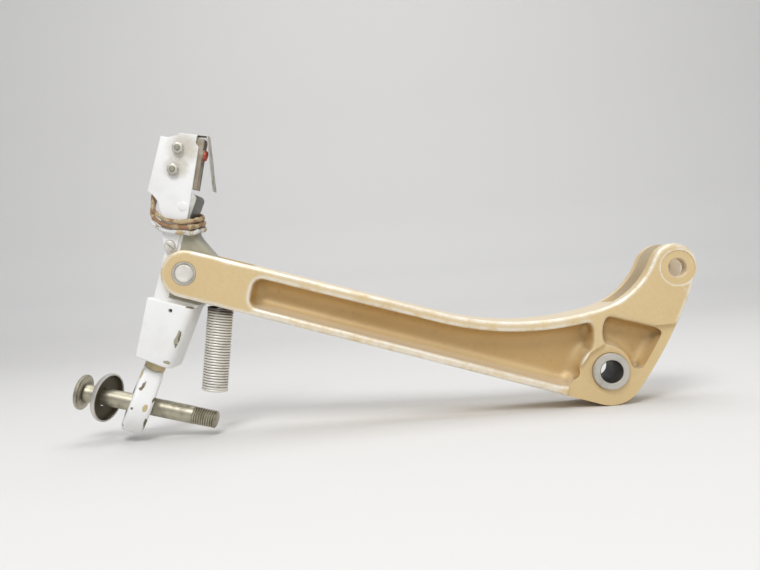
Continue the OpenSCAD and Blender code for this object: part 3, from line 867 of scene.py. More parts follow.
def braided(name, base, shade):
    """Varnished braid that crosses itself along the lead."""
    s = Shade(name)
    uv = s.add("ShaderNodeSeparateXYZ", {}, {"Vector": s.add("ShaderNodeUVMap").outputs[0]}).outputs
    round_, along = Value(s, uv[0]), Value(s, uv[1])
    strands, twist = 18.85, 420
    one = (round_ * strands + along * twist).math("SINE")
    two = (round_ * strands - along * twist).math("SINE")
    weave = abs(one.math("MAXIMUM", two))
    cloud, patch = s.noise(3, 4), s.noise(5, 2, seed=4)
    tone = s.mix(patch.band(0.44, 0.52), base, shade)
    tone = s.mix(cloud.band(0.5, 0.8) * 0.5, tone, colours().tarnish_and_shade)
    # The gaps between strands are darkened: painted shade
    tone = s.mix((1 - weave) * 0.45, tone, colours().grime_and_shade)
    return s.finish(Base_Color=tone, Roughness=0.62 + cloud * 0.15, Normal=s.bump(weave + cloud * 0.4, 0.16, 0.8))


# Pieces


class Piece(bpy.types.Operator):
    """Models pieces of the bellcrank"""

    bl_options = {"REGISTER", "UNDO"}

    def execute(self, context):
        scene = context.scene
        self.arm = sizes_mm(scene.bellcrank_arm)
        self.link = sizes_mm(scene.bellcrank_link)
        self.switch = sizes_mm(scene.bellcrank_switch)
        self.colours = scene.bellcrank_finishes
        self.build()
        return {"FINISHED"}


class BELLCRANK_OT_arm(Piece):
    """Forges the arm, then machines its slots, heel faces and holes"""

    bl_idname = "bellcrank.arm"
    bl_label = "Lever arm"

    # The pockets' walls run out into their floor: height above the floor and run-out
    RUN_OUT = ((0, 4.5), (0.4, 3.04), (1, 2), (2, 1), (3.3, 0.3), (5, 0))
    # The edge of the heel's machined faces, from the pivot in heel radii
    HEEL_FACE = ((-1.11, -4), (-1.11, -0.61), (-0.74, 0.41), (-0.37, 0.78), (0.93, 1.61), (2, 1.96), (4, 2), (4, -4))
    RIB_LEAN = math.radians(103)
    SPOT_FACE_R = 7.5
    BORE_STEPS = 72

    def island(self, name, outline):
        """What stands up from the floor of the pocket; outline gives its points at a run-out."""
        floor, top = self.arm["web"] / 2, self.arm["thickness"] / 2 + 10
        levels = [(-1, self.RUN_OUT[0][1])] + [(floor + h, out) for h, out in self.RUN_OUT] + [(top, -0.6)]
        return loft(name, [[(x, y, z) for x, z in outline(out)] for y, out in levels])

    def pocket_cutter(self):
        a = self.arm
        span, floor, half, start = a["span"], a["web"] / 2, a["thickness"] / 2, a["pocket_start"]
        levels = [(floor + h, out) for h, out in self.RUN_OUT] + [(half, -0.4), (half + 8, -1.0)]
        rings = [[(x, y, z - 0.4) for x, z in arm_points(a, a["flange"] + out)] for y, out in levels]
        cutter = loft("pocket", rings)
        way = math.cos(self.RIB_LEAN), math.sin(self.RIB_LEAN)

        def round_boss(x, z, r):
            return lambda out: arc((span + x, z), r + out, 0, TURN * 63 / 64, 63)

        def rib(out):
            wide = a["rib"] / 2 + out * 0.6
            ends = ((0, wide), (60, wide), (60, -wide), (0, -wide))
            return [(span - 6 + way[0] * e + way[1] * w, way[1] * e - way[0] * w) for e, w in ends]

        islands = (
            ("left", lambda out: rectangle(-60, -FAR, start + out, FAR)),
            ("boss", round_boss(-2.2, -0.4, a["boss_r"])),
            ("toe", round_boss(-8.6, -12, 8)),
            ("heel", lambda out: rectangle(span + 3, -FAR, span + 60, 3.6 + out / 2)),
            ("rib", rib),
            ("roof", lambda out: rectangle(span - 7, 22.9 - out, span + 60, 90)),
        )
        for name, outline in islands:
            combine(cutter, self.island(name, outline))
        round_edges(cutter, 3.4, 5, limit=42, clamp=False)
        forge(cutter, 0.7, 8)
        return cutter

    def build(self):
        a = self.arm
        half = a["thickness"] / 2
        forging = prism("arm_forging", arm_points(a, -0.12), -half, half)
        cutter = self.pocket_cutter()
        front = moved(copied(cutter, "pocket_front"), Matrix.Scale(-1, 4, (0, 1, 0)))
        edit(front)
        bpy.ops.mesh.flip_normals()
        done()
        combine(forging, front)
        combine(forging, cutter)
        forge(forging, 0.72, 11)
        self.machine(forging, half)
        up = (-math.sin(a["tilt"]), 0, math.cos(a["tilt"]))
        mark_pockets(forging, arm_points(a, 2.6), half - 1, up)
        settle(forging, arm_place(), "arm", gold_coat(), ["lever_arm"], smooth=32, passes=2, flat=3)

    def machine(self, forging, half):
        a, spot = self.arm, self.SPOT_FACE_R
        span, heel = a["span"], a["heel_r"]
        ear = shift((span + a["ear_along"], a["ear_rise"]))
        face = half - a["heel_step"]
        outline = [(span + heel * x, heel * z) for x, z in self.HEEL_FACE]
        combine(forging, prism("heel_front", outline, -FAR, -face))
        combine(forging, prism("heel_rear", outline, face, FAR))
        slot = a["fork_slot"] / 2
        combine(forging, box("fork_slot", (-FAR, -slot, -FAR), (a["fork_depth"], slot, FAR)))
        slot = a["clevis_slot"] / 2
        cut = box("clevis_slot", (-a["throat_r"] - a["ear_r"], -slot, -a["clevis_depth"]), (60, slot, 60))
        combine(forging, moved(cut, ear @ turn_y(-a["tilt"])))
        deep, r = half - 0.4, a["clevis_bore"] / 2
        hole = both_ends([(-FAR, 0), (-FAR, spot), (-deep, spot), (-deep, r + 0.4), (-deep + 0.4, r)])
        drill(forging, hole, ear, self.BORE_STEPS)
        for x, r, depth in ((0, a["pin_bush_od"] / 2, half), (span, a["bush_od"] / 2, face)):
            hole = both_ends([(-FAR, 0), (-FAR, r + 0.3), (-depth, r + 0.3), (-depth + 0.3, r)])
            drill(forging, hole, shift((x, 0)), self.BORE_STEPS)


class BELLCRANK_OT_bushes(Piece):
    """Turns the pivot bush, the pin bushes and the link pin"""

    bl_idname = "bellcrank.bushes"
    bl_label = "Bushes and pin"

    # Play between pieces that fit together
    FIT = 0.02

    def ring(self, name, y0, y1, bore, outer, chamfer):
        return turned(name, [(y0, bore + chamfer), (y0, outer - chamfer), (y0 + chamfer, outer), (y1 - chamfer, outer),
                             (y1, outer - chamfer), (y1, bore + chamfer), (y1 - chamfer, bore), (y0 + chamfer, bore)],
                      closed=True)

    def build(self):
        a, c, place = self.arm, self.colours, arm_place()
        half, slot, tongue = a["thickness"] / 2, a["fork_slot"] / 2, self.link["tongue"] / 2
        bore, pin, outer = a["bush_bore"] / 2, a["pin_d"] / 2, a["pin_bush_od"] / 2 - self.FIT
        # The bush is darkened inside its bore: painted shade
        steel = bare_steel("bush_steel", c.bare, c.tarnish_and_shade, rough=0.4, dirt=0.25, metallic=0.4, bore=bore)
        worn = bare_steel("pin_steel", c.bare, c.tarnish_and_shade, rough=0.42, dirt=0.3, metallic=0.4)
        bronze = bare_steel("bearing_bronze", c.brass, c.tarnish_and_shade)
        bright = bare_steel("pin_end_steel", c.spring, c.tarnish_and_shade, dirt=0.3, metallic=0.45)
        bush = self.ring("pivot_sleeve", -half, half, bore, a["bush_od"] / 2 - self.FIT, 0.45)
        settle(bush, Matrix.Identity(4), "arm", steel, ["pivot_bush"])
        ring = self.ring("fork_ring_front", -half, -slot, pin + self.FIT, outer, 0.25)
        rear = copied(ring, "fork_ring_rear", (0, half + slot, 0))
        settle(ring, place, "arm", worn, ["pin_bush_front"])
        settle(rear, place, "arm", worn, ["pin_bush_rear"])
        ring = self.ring("tongue_ring", -tongue, tongue, pin + 2 * self.FIT, outer, 0.25)
        settle(ring, place, "link", bronze, ["link_bush"])
        end = half + 0.3
        dish = [(-end + 0.3, 0), (-end + 0.26, 1.2), (-end + 0.08, 2.6), (-end, 3), (-end, pin - 0.9),
                (-end + 0.3, pin - 0.5), (-end + 0.9, pin)]
        settle(turned("cross_pin", both_ends(dish)), place, "arm", bright, ["link_pin"])


class BELLCRANK_OT_link(Piece):
    """Models the white block with its tongue, post and horn"""

    bl_idname = "bellcrank.link"
    bl_label = "Link body"

    # Chips in the paint: their middle from the link pin, half their size, and what shows
    CHIPS = (
        ((3.6, -26.6), (0.8, 2.2), "olive"), ((3.2, -29.2), (1.1, 2.4), "olive"), ((4, -27.6), (0.35, 2.6), "tarnish_and_shade"),
        ((3.3, -31.4), (0.4, 1), "tarnish_and_shade"), ((1.4, -39.3), (1.5, 0.8), "olive"), ((5.4, -13.9), (1.8, 0.4), "tarnish_and_shade"),
    )

    def block(self, left, top, half):
        """The white block: its foot is square to the eye, and the edges on its right are round."""
        k, tilt = self.link, self.link["eye_tilt"]
        foot = (left + k["foot_w"] * math.cos(tilt), top - k["block"] - k["foot_w"] * math.sin(tilt))
        body = box("link_block", (left, -half, top - k["block"]), (left + k["top_w"], half, top))
        for vert in body.data.vertices:
            low = vert.co.z < top - 1
            if vert.co.x < left + 1:
                vert.co.x -= 1.0 if low else 1.9
            elif low:
                vert.co.x, vert.co.z = foot
        edit(body, "EDGE")
        bpy.ops.mesh.select_all(action="DESELECT")
        bpy.ops.object.mode_set(mode="OBJECT")
        for e in body.data.edges:
            a, b = (body.data.vertices[i].co for i in e.vertices)
            e.select = min(a.x, b.x) > left + 1 and abs(a.z - b.z) > 5
        bpy.ops.object.mode_set(mode="EDIT")
        bpy.ops.mesh.bevel(offset=4.5, segments=8, affect="EDGES")
        done()
        round_edges(body, 0.8, limit=40)
        return body

    def build(self):
        k, post = self.link, self.link["post"]
        left, top, half = -k["edge"], -k["drop"], k["depth"] / 2
        right, thick, horn_half = k["post_w"] - k["edge"], k["tongue"] / 2, k["horn_t"] / 2
        body = self.block(left, top, half)
        tongue = prism("tongue", [
            (left, top - 3), (left, post), (right - 1.2, post), (right, post - 1.5), (right - 1, 24), (-0.9, 17.6),
            (0.6, 16.1), (9.2, 10.1), (11.2, 8.2), (12, 6.5), (12, -5), (k["top_w"] - k["edge"] - 1.4, top - 3),
        ], -thick, thick)
        round_edges(tongue, 0.7, limit=25)
        horn = prism("horn", bar_points((8, 0), 6.5, HORN, 4), -horn_half, horn_half)
        round_edges(horn, 0.5, limit=40)
        combine(body, tongue, "UNION")
        combine(body, horn, "UNION")
        drill(body, plain_hole(self.arm["pin_bush_od"] / 2))
        mouth = HORN_HOLE_R + 0.4
        drill(body, both_ends([(-9, 0), (-9, mouth), (-horn_half, mouth), (-0.9, HORN_HOLE_R)]), shift(HORN), 32)
        witness = [(-FAR, 0), (-FAR, 0.95), (-half, 0.95), (-half + 0.1, 0.85), (-3, 0.85), (-3, 0)]
        drill(body, witness, shift(EYE_TOP), 32)
        drill(body, plain_hole(4, -60, 0), shift(EYE_TOP) @ turn_y(k["eye_tilt"]) @ ALONG_Z, 48)
        coat = white_paint("white_paint", link_place(), self.CHIPS, bare_tongue, wear=-0.05)
        settle(body, link_place(), "link", coat, ["link_body"], smooth=40)


class BELLCRANK_OT_eye(Piece):
    """Models the rod eye, its ball, the bolt and the dished washer"""

    bl_idname = "bellcrank.eye"
    bl_label = "Eye and bolt"

    # Chips in the eye's paint, as on the link
    CHIPS = (
        ((0.3, -52), (0.7, 1.6), "tarnish_and_shade"), ((0, -53.6), (0.8, 0.9), "tarnish_and_shade"), ((5.1, -60.6), (1.1, 1.8), "brass"),
        ((-3, -48.6), (0.7, 2.4), "brass"), ((0, -62.3), (0.6, 0.6), "tarnish_and_shade"),
        ((-2.4, -71.6), (1.1, 0.45), "tarnish_and_shade"), ((7.2, -48), (0.5, 3), "primer"), ((6.9, -67), (0.5, 2.4), "tarnish_and_shade"),
        ((7, -71.5), (0.5, 3), "tarnish_and_shade"), ((6.7, -56.5), (0.4, 1), "tarnish_and_shade"),
    )
    # Sections, each with the depth inside the rim: the bolt's head, back from its seat, and the washer, along the bolt
    HEAD = ((2.6, 1.2), (2.45, 0.55), (2.1, 0.1), (1.8, 0), (0.9, 0), (0.7, 0.2), (0.7, 0.8), (0, 1.6))
    CUP = ((-1.5, 2.6), (-1.3, 1.5), (-0.7, 0.5), (0, 0.05), (1.4, 0), (1.6, 0.15), (1.65, 0.5), (1.5, 0.75),
           (0.4, 0.9), (-0.1, 1.3), (-0.45, 2.1), (-0.55, 3), (-0.6, 5))
    THREAD_PITCH, THREAD_DEPTH = 1.06, 0.5
    # The washer lies loose on the bolt: its share of the way to the head, and its tilt
    WASHER_AT, WASHER_TILT = 0.63, math.radians(-9)

    def build(self):
        steel = bare_steel("bolt_steel", self.colours.bolt, self.colours.tarnish_and_shade, rough=0.26, dirt=0.6)
        self.rod_eye()
        self.ball(steel)
        self.bolt(steel)
        self.washer()

    def ball_arc(self, r, half):
        """The section of a ball between two faces."""
        reach = math.asin(half / r)
        return [(r * math.sin(t), r * math.cos(t)) for t in np.linspace(-reach, reach, 17)]

    def rod_eye(self):
        k, tilt = self.link, self.link["eye_tilt"]
        foot = (k["edge"] + EYE_TOP[0]) * math.sin(tilt) + (k["drop"] + k["block"] + EYE_TOP[1]) * math.cos(tilt)
        neck, half, r = k["neck_d"] / 2, k["eye_t"] / 2, k["eye_r"]
        start = foot + 4.4
        wide, rise = neck + 0.5, k["eye_len"] - start
        lean = math.atan2(rise, wide) - math.acos(r / math.hypot(wide, rise))
        rim = arc((0, -k["eye_len"]), r + 0.4, lean, -math.pi - lean, 56)
        eye = prism("eye_end", [(-wide, -start), (wide, -start)] + rim, -half, half)
        round_edges(eye, 1.9, 5, limit=50)
        moved(eye, Matrix.Rotation(math.radians(90), 4, "Z"))
        stem = turned("stem", [
            (-start - 6, 0), (-start - 6, neck - 1), (-start - 2, neck), (-foot - 0.5, neck), (-foot - 0.1, neck - 0.3),
            (-foot, neck - 0.7), (-foot, 3.9), (-2.4, 3.9), (-2, 3.5), (-2, 0)])
        combine(eye, moved(stem, ALONG_Z), "UNION")
        forge(eye, 0.42, 7)
        seat = self.ball_arc(k["ball_r"] + 0.25, half + 1)
        seat = [(-9, 0), (-9, seat[0][1])] + seat + [(9, seat[-1][1]), (9, 0)]
        drill(eye, seat, shift((0, -k["eye_len"])) @ ALONG_X)
        coat = white_paint("eye_paint", link_place() @ turn_y(tilt), self.CHIPS, bare_neck)
        settle(eye, eye_place(), "link", coat, ["rod_eye"], smooth=40, passes=2)

    def ball(self, steel):
        k = self.link
        half, bore, face = k["eye_t"] / 2 + 0.9, k["bolt_d"] / 2 + 0.02, k["eye_t"] / 2 - 0.3
        section = [(-half, bore)] + self.ball_arc(k["ball_r"], half) + [(half, bore)]
        ball = moved(turned("swivel_ball", section, closed=True), ALONG_X)
        turn = (bolt_place().inverted() @ eye_place()).to_3x3().to_4x4()
        combine(ball, moved(box("faces", (-face, -20, -20), (face, 20, 20)), turn), "INTERSECT")
        settle(ball, bolt_place(), "bolt", steel, ["eye_ball"])

    def bolt(self, steel):
        k = self.link
        r, back, front, head = k["bolt_d"] / 2, -k["bolt_back"], k["bolt_front"], k["head_d"] / 2
        run, pitch = front - k["thread"], self.THREAD_PITCH
        plain = [(back - self.HEAD[0][0], 0)] + [(back - x, head - q) for x, q in self.HEAD]
        plain += [(back, r + 0.5), (back + 0.15, r + 0.15), (back + 0.5, r)]
        plain += [(x, r) for x in np.linspace(back + 3, run - 0.2, 8)]
        rings = [hoop(x, q) for x, q in plain]
        ways = np.linspace(0, TURN, ROUND, endpoint=False)
        for x in np.arange(run, front - 0.5, pitch / 6):
            fade = max(min(1, (x - run) / 1.5, (front - 0.3 - x) / 0.8), 0)
            wave = ((x - run) / pitch + ways / TURN) % 1
            rings.append(hoop(x, r - self.THREAD_DEPTH * fade * (1 - abs(2 * wave - 1) ** 1.2)))
        tip = ((front - 0.5, r - 0.2), (front - 0.1, r - 0.8), (front, r - 1.2), (front, 0))
        bolt = moved(loft("long_bolt", rings + [hoop(x, q) for x, q in tip]), ALONG_X)
        settle(bolt, bolt_place(), "bolt", steel, ["eye_bolt"], smooth=28)

    def washer(self):
        k, c = self.link, self.colours
        rim, hole = k["washer_d"] / 2, k["bolt_d"] / 2 + 0.25
        cup = [(self.CUP[0][0], hole)] + [(x, rim - q) for x, q in self.CUP] + [(self.CUP[-1][0], hole)]
        washer = moved(turned("dished_washer", cup, closed=True), ALONG_X)
        _, y, z = point_rows(washer).T
        mark(washer, "outer", (np.hypot(y, z) > rim - 3).astype(float))
        at = Matrix.Translation((-k["bolt_back"] * self.WASHER_AT, 0, -0.15))
        moved(washer, at @ Matrix.Rotation(self.WASHER_TILT, 4, "Z"))
        # Its outer rim gets a painted highlight
        dark = bare_steel("washer_steel", c.tarnish_and_shade, c.casting, rough=0.24, rim=0.8, outer="outer")
        settle(washer, bolt_place(), "bolt", dark, ["cup_washer"])


class BELLCRANK_OT_spring(Piece):
    """Winds the tension spring, with its hook through the horn"""

    bl_idname = "bellcrank.spring"
    bl_label = "Tension spring"

    # Points to a turn, and the hook's rise above the coil
    STEPS, RISE = 32, 1.0

    def build(self):
        k, steps = self.link, self.STEPS
        r, wire = (k["spring_od"] - k["wire_d"]) / 2, k["wire_d"] / 2
        seat = HORN_HOLE_R - wire - (r - math.sqrt(r * r - k["horn_t"] ** 2 / 4)) - 0.1
        top = -seat - r - self.RISE
        count = k["turns"] * steps + steps // 2
        coil = [(r * math.sin(t), -r * math.cos(t), top - k["coil"] * i / count)
                for i, t in ((i, TURN * i / steps) for i in range(count + 1))]
        hook = [(0, -r * math.cos(t), top + self.RISE + r * math.sin(t)) for t in np.linspace(math.pi, 0, 22)]
        bend = [(0.1, -r, top + 0.45), (0.5, -r * 0.995, top + 0.12)]
        path = np.array(hook + bend + coil[2:])
        level = path[-steps, 2]
        path[-steps:, 2] = np.linspace(level, level - 0.62 * k["coil"] / k["turns"], steps)
        spring = swept("wound_spring", path, wire, 12)
        x, y, _ = point_rows(spring).T
        # How far each point lies outside the coil, for the painted highlight and painted shade on the wire
        mark(spring, "outer", np.clip((np.hypot(x, y) - r) / (wire * 0.7), 0, 1))
        place = link_place() @ frame_shift(HORN) @ turn_y(-k["spring_tilt"])
        settle(spring, place, "link", bright_wire(), ["tension_spring"], smooth=60)


class BELLCRANK_OT_bracket(Piece):
    """Cuts the switch plate and makes its screw and rivet"""

    bl_idname = "bellcrank.bracket"
    bl_label = "Switch plate"

    # Stains round the nuts: their middle from the link pin and half their size
    STAINS = (((-13.5, 53), (8, 8)), ((-14.5, 43.5), (6, 5)))
    SLOT_TURN = math.radians(24)

    def outline(self):
        k, w = self.link, self.switch
        top, right = k["post"] + w["plate_rise"], PLATE_LEFT + w["plate_w"]
        head = [(PLATE_LEFT, 31), (PLATE_LEFT, top - 3.5), (PLATE_LEFT + 3.4, top - 3.2), (right - 8.7, top - 1.2),
                (right - 8.7, top - 0.3), (right - 0.6, top + 0.7), (right - 0.5, top - 2.7), (right + 1.2, top - 4.3),
                (k["post_w"] - k["edge"] - 1.6, 23), (TAB_SCREW[0] + TAB_R, 16)]
        notch = [(-15.9, 19), (-15.9, 22), (-18, 25.3), (-19, 27.6), (PLATE_LEFT + 2.4, 30)]
        return head + arc(TAB_SCREW, TAB_R, 0, -math.pi, 16) + notch

    def build(self):
        k, w, c, place = self.link, self.switch, self.colours, link_place()
        back = -k["tongue"] / 2
        front = back - w["plate_t"]
        rivet_at = (RIVET_U, k["post"] + RIVET_RISE)
        plate = prism("switch_plate", self.outline(), front, back)
        round_edges(plate, 0.3, limit=20)
        for spot in screw_spots(k, w) + [TAB_SCREW, rivet_at]:
            drill(plate, plain_hole(SCREW_HOLE_R, end=0), shift(spot), 32)
        coat = white_paint("plate_paint", place, stains=self.STAINS, wear=-0.4)
        settle(plate, place, "link", coat, ["switch_bracket"])
        shank = [(0, 1.1), (6, 1.1), (6, 0)]
        screw = turned("tab_screw", [(-1.5, 0), (-1.5, 1.6), (-1.25, 2.2), (-0.8, 2.5), (0, 2.5)] + shank, 40)
        combine(screw, box("slot", (-4, -4, -0.35), (4, -0.75, 0.35)))
        moved(screw, shift(TAB_SCREW, front) @ turn_y(self.SLOT_TURN))
        steel = bare_steel("screw_steel", c.spring, c.tarnish_and_shade, rough=0.4, dirt=0.45, metallic=0.6)
        settle(screw, place, "link", steel, ["bracket_screw"])
        rivet = turned("plate_rivet", [(-0.4, 0), (-0.4, 0.9), (-0.3, 1.7), (-0.1, 2.15), (0, 2.2)] + shank, 40)
        moved(rivet, shift(rivet_at, front))
        settle(rivet, place, "link", white_paint("rivet_paint"), ["bracket_rivet"])


class BELLCRANK_OT_switch(Piece):
    """Models the snap switch: case, cover, plunger, leaf and terminals"""

    bl_idname = "bellcrank.switch"
    bl_label = "Snap switch"

    COVER_T, SEAM = 1.2, 0.02
    KNOB_R, KNOB_BACK, KNOB_RISE = 2.35, 2.6, 14.3
    LEAF_SLOPE = math.radians(20)

    def case(self, name, y0, y1, low):
        w = self.switch
        case = box(name, (CASE_LEFT, y0, low), (CASE_LEFT + w["case_h"], y1, low + w["case_len"]))
        for vert in case.data.vertices:
            foot = vert.co.z < low + 1
            vert.co.z += -1 if foot else CASE_RISE if vert.co.x > CASE_LEFT + 1 else 0
            if foot and vert.co.x > CASE_LEFT + 1:
                vert.co.x += 1.7
        edit(case, "EDGE")
        bpy.ops.mesh.bevel(offset=0.35, segments=3, affect="EDGES")
        done()
        for spot in screw_spots(self.link, w):
            drill(case, plain_hole(SCREW_HOLE_R), shift(spot), 32)
        return case

    def build(self):
        k, w, c, place = self.link, self.switch, self.colours, link_place()
        y0, low = -k["tongue"] / 2, k["post"] + CASE_FOOT
        y1, mid = y0 + w["case_t"], y0 + w["case_t"] / 2
        right, roof, press = CASE_LEFT + w["case_h"], low + w["case_len"], low + self.KNOB_RISE
        knob_r, knob_place = self.KNOB_R, Matrix.Translation((0, y0 + self.KNOB_BACK, press)) @ ALONG_X
        case = self.case("snap_case", y0 + 0.01, y1 - self.COVER_T - self.SEAM, low)
        wide, lip = knob_r + 0.5, right + 0.9
        collar = [(right - 3, 0), (right - 3, wide), (lip - 0.15, wide), (lip, wide - 0.15), (lip, 0)]
        combine(case, moved(turned("collar", collar, 40), knob_place), "UNION")
        drill(case, plain_hole(knob_r + 0.1, right - 3.2, right + 9), knob_place, 40)
        lug = box("hinge_lug", (right - 5.4, y0 + 1, roof - 0.5), (right - 3.4, y1 - 2.2, roof + CASE_RISE + 0.2))
        combine(case, lug, "UNION")
        settle(case, place, "link", moulded("switch_body", c.phenolic, c.cover), ["switch_case"])
        cover = self.case("snap_cover", y1 - self.COVER_T + self.SEAM, y1, low)
        settle(cover, place, "link", moulded("cover_body", c.cover, c.grime_and_shade), ["switch_cover"])
        hinge = np.array((right + 0.3, roof + CASE_RISE + 0.3 + LEAF_LIFT))
        tip = hinge[0] + (hinge[1] - press - knob_r) * math.tan(self.LEAF_SLOPE) - 0.3
        knob = turned("press_knob", [
            (right - 2, 0), (right - 2, knob_r), (tip - 0.6, knob_r), (tip - 0.2, knob_r - 0.35),
            (tip, knob_r - 1), (tip, 0)], 40)
        red = moulded("plunger_body", c.plunger, c.cover, rough=0.35)
        settle(moved(knob, knob_place), place, "plunger", red, ["switch_plunger"])
        self.leaf(hinge, mid)
        self.terminals(mid, k["post"] + SCREW_RISE)

    def leaf(self, hinge, mid):
        w, c = self.switch, self.colours
        t, half, slope = w["leaf_t"], w["leaf_w"] / 2, self.LEAF_SLOPE
        tip = hinge + np.array((math.sin(slope), -math.cos(slope))) * w["leaf_len"]
        side = np.array((math.cos(slope), math.sin(slope))) * t
        back = hinge - (w["leaf_w"], LEAF_LIFT)
        points = [back, hinge, tip, tip + side, hinge + (side[0], t), back + (0, t)]
        leaf = prism("press_leaf", points, mid - half, mid + half)
        round_edges(leaf, 0.12, 2, limit=15)
        steel = bare_steel("leaf_steel", c.bare, c.casting, rough=0.32, dirt=0.7)
        settle(leaf, link_place(), "leaf", steel, ["switch_leaf"])

    def terminals(self, mid, level):
        c = self.colours
        tab = box("tab", (CASE_LEFT - 3.9, mid - 0.25, level - 1.5), (CASE_LEFT, mid + 0.25, level + 1.5))
        round_edges(tab, 0.12, 2)
        drill(tab, plain_hole(0.7, -9, 9), shift((CASE_LEFT - 2.5, level)), 20)
        tabs = [tab] + [copied(tab, "tab", (0, 0, z)) for z in (-TERMINAL_PITCH, TERMINAL_PITCH)]
        tin = bare_steel("tinned_brass", c.brass, c.bare, rough=0.3, dirt=0.6)
        settle(joined("solder_tabs", tabs), link_place(), "link", tin, ["switch_terminals"])


class BELLCRANK_OT_fixings(Piece):
    """Makes the two switch screws with their washers and nuts"""

    bl_idname = "bellcrank.fixings"
    bl_label = "Switch fixings"

    # How each screw, washer and nut is turned round its axis
    TURNS = {"lower": math.radians(-7), "upper": math.radians(41)}

    def screw(self, front, rear, r):
        end = front - 2.55
        thread = [(x, r - 0.14 * (i % 2)) for i, x in enumerate(np.arange(end + 0.3, front - 1.7, 0.2))]
        head = [(rear, 2), (rear + 0.8, 2), (rear + 1.15, 1.75), (rear + 1.3, 1.3), (rear + 1.3, 0)]
        return turned("screw", [(end, 0), (end, r - 0.3)] + thread + [(front - 1.6, r), (rear, r)] + head, 40)

    def washer(self, front, r):
        low, high, hole = front - 0.5, front - 0.02, r + 0.02
        profile = [(low, hole), (low, 2.35), (low + 0.15, 2.5), (high, 2.5), (high, hole)]
        return turned("washer", profile, 48, closed=True)

    def nut(self, front, r):
        af, low, high, hole = self.switch["nut_af"] / 2, front - 2.11, front - 0.51, r + 0.02
        deselect()
        bpy.ops.mesh.primitive_cylinder_add(vertices=6, radius=af / math.cos(math.pi / 6), depth=1.58)
        nut = moved(started("nut"), Matrix.Translation((0, front - 1.31, 0)) @ ALONG_Z)
        cone = [(low, 0), (low, af - 0.15), (front - 1.6, af + 0.75), (front - 1, af + 0.75), (high, af + 0.1),
                (high, 0)]
        combine(nut, turned("cone", cone, 48), "INTERSECT")
        mouth = r + 0.2
        drill(nut, [(-60, 0), (-60, mouth), (low - 0.01, mouth), (front - 1.95, hole), (9, hole), (9, 0)], steps=40)
        return nut

    def build(self):
        k, w, c = self.link, self.switch, self.colours
        # The nuts' edges get a painted highlight
        steel = bare_steel("nut_steel", c.bare, c.tarnish_and_shade, metallic=0.7, rim=0.25)
        dark = bare_steel("screw_thread_steel", c.olive, c.casting, rough=0.4, dirt=0.6, metallic=0.7)
        back, r = -k["tongue"] / 2, w["screw_d"] / 2
        front, rear = back - w["plate_t"], back + w["case_t"]
        models = {"screw": self.screw(front, rear, r), "washer": self.washer(front, r), "nut": self.nut(front, r)}
        for kind, model in models.items():
            for (word, turn), spot in zip(self.TURNS.items(), screw_spots(k, w)):
                name = kind + "_" + word
                place = link_place() @ frame_shift(spot) @ turn_y(turn)
                finish = dark if kind == "screw" else steel
                settle(copied(model, name), place, "link", finish, ["switch_" + name])
            bpy.data.objects.remove(model, do_unlink=True)


class BELLCRANK_OT_leads(Piece):
    """Lays the three leads from their terminals round the post"""

    bl_idname = "bellcrank.leads"
    bl_label = "Leads"

    # From the link pin: behind the plate, through its notch and round the post
    ROUTE = (
        (-22.6, 0, 36), (-22, 0, 28), (-19.8, -8.6, 23.4), (-13.6, -10.8, 20.8), (-7, -10.6, 21.4), (-2.6, -9.4, 22.8),
        (-1.4, -5, 24), (-1.4, 2, 25), (-2.8, 8.2, 25.8), (-7, 9.4, 26.2), (-13, 9, 26.2),
    )
    # Each lead's row in the wrap and its depth behind the plate, and how far a row lies lower along the route
    ROWS, DEPTHS, DROPS = (0, 2, 1), (-1.95, 2.1, 0.05), (0, 1.6, 2.35)

    def route(self, i):
        """The points that a lead follows from its terminal."""
        k, w = self.link, self.switch
        mid = -k["tongue"] / 2 + w["case_t"] / 2
        row, deep = self.ROWS[i], self.DEPTHS[i]
        start = np.array((CASE_LEFT - 4.7, mid, k["post"] + SCREW_RISE + (1 - i) * TERMINAL_PITCH))
        points = [start, start + (-1.2, deep * 0.75, -1.6)]
        for n, point in enumerate(self.ROUTE):
            out, back = 0.9 * row if 4 < n < 9 else 0, mid + deep if n < 2 else 0
            points.append(np.array(point) + (out, back, -self.DROPS[min(n, 2)] * row))
        return points

    def build(self):
        c = self.colours
        tones = ((c.sleeve, c.braid), (c.braid, c.white), (c.braid, c.sleeve))
        for i, word in enumerate(("upper", "middle", "lower")):
            path = smooth_path(self.route(i), 8)
            run = np.linspace(0, 1, len(path))
            wrapped = np.clip((run - 0.42) / 0.1, 0, 1)
            path[:, 2] += wrapped * 0.16 * np.sin(run * 60 + 2 * i)
            path[:, 1] -= wrapped * np.clip((0.8 - run) * 8, 0, 1) * 0.3 * (1 + np.sin(run * 47 + 3 * i))
            thick = self.switch["lead_d"] / 2 + 0.22 * wrapped + 0.05 * np.sin(run * 90 + i)
            lead = swept("lead_cord_" + word, path, thick, 20)
            braid = braided("braid_" + word, *tones[i])
            settle(lead, link_place(), "link", braid, ["lead_" + word], smooth=70)


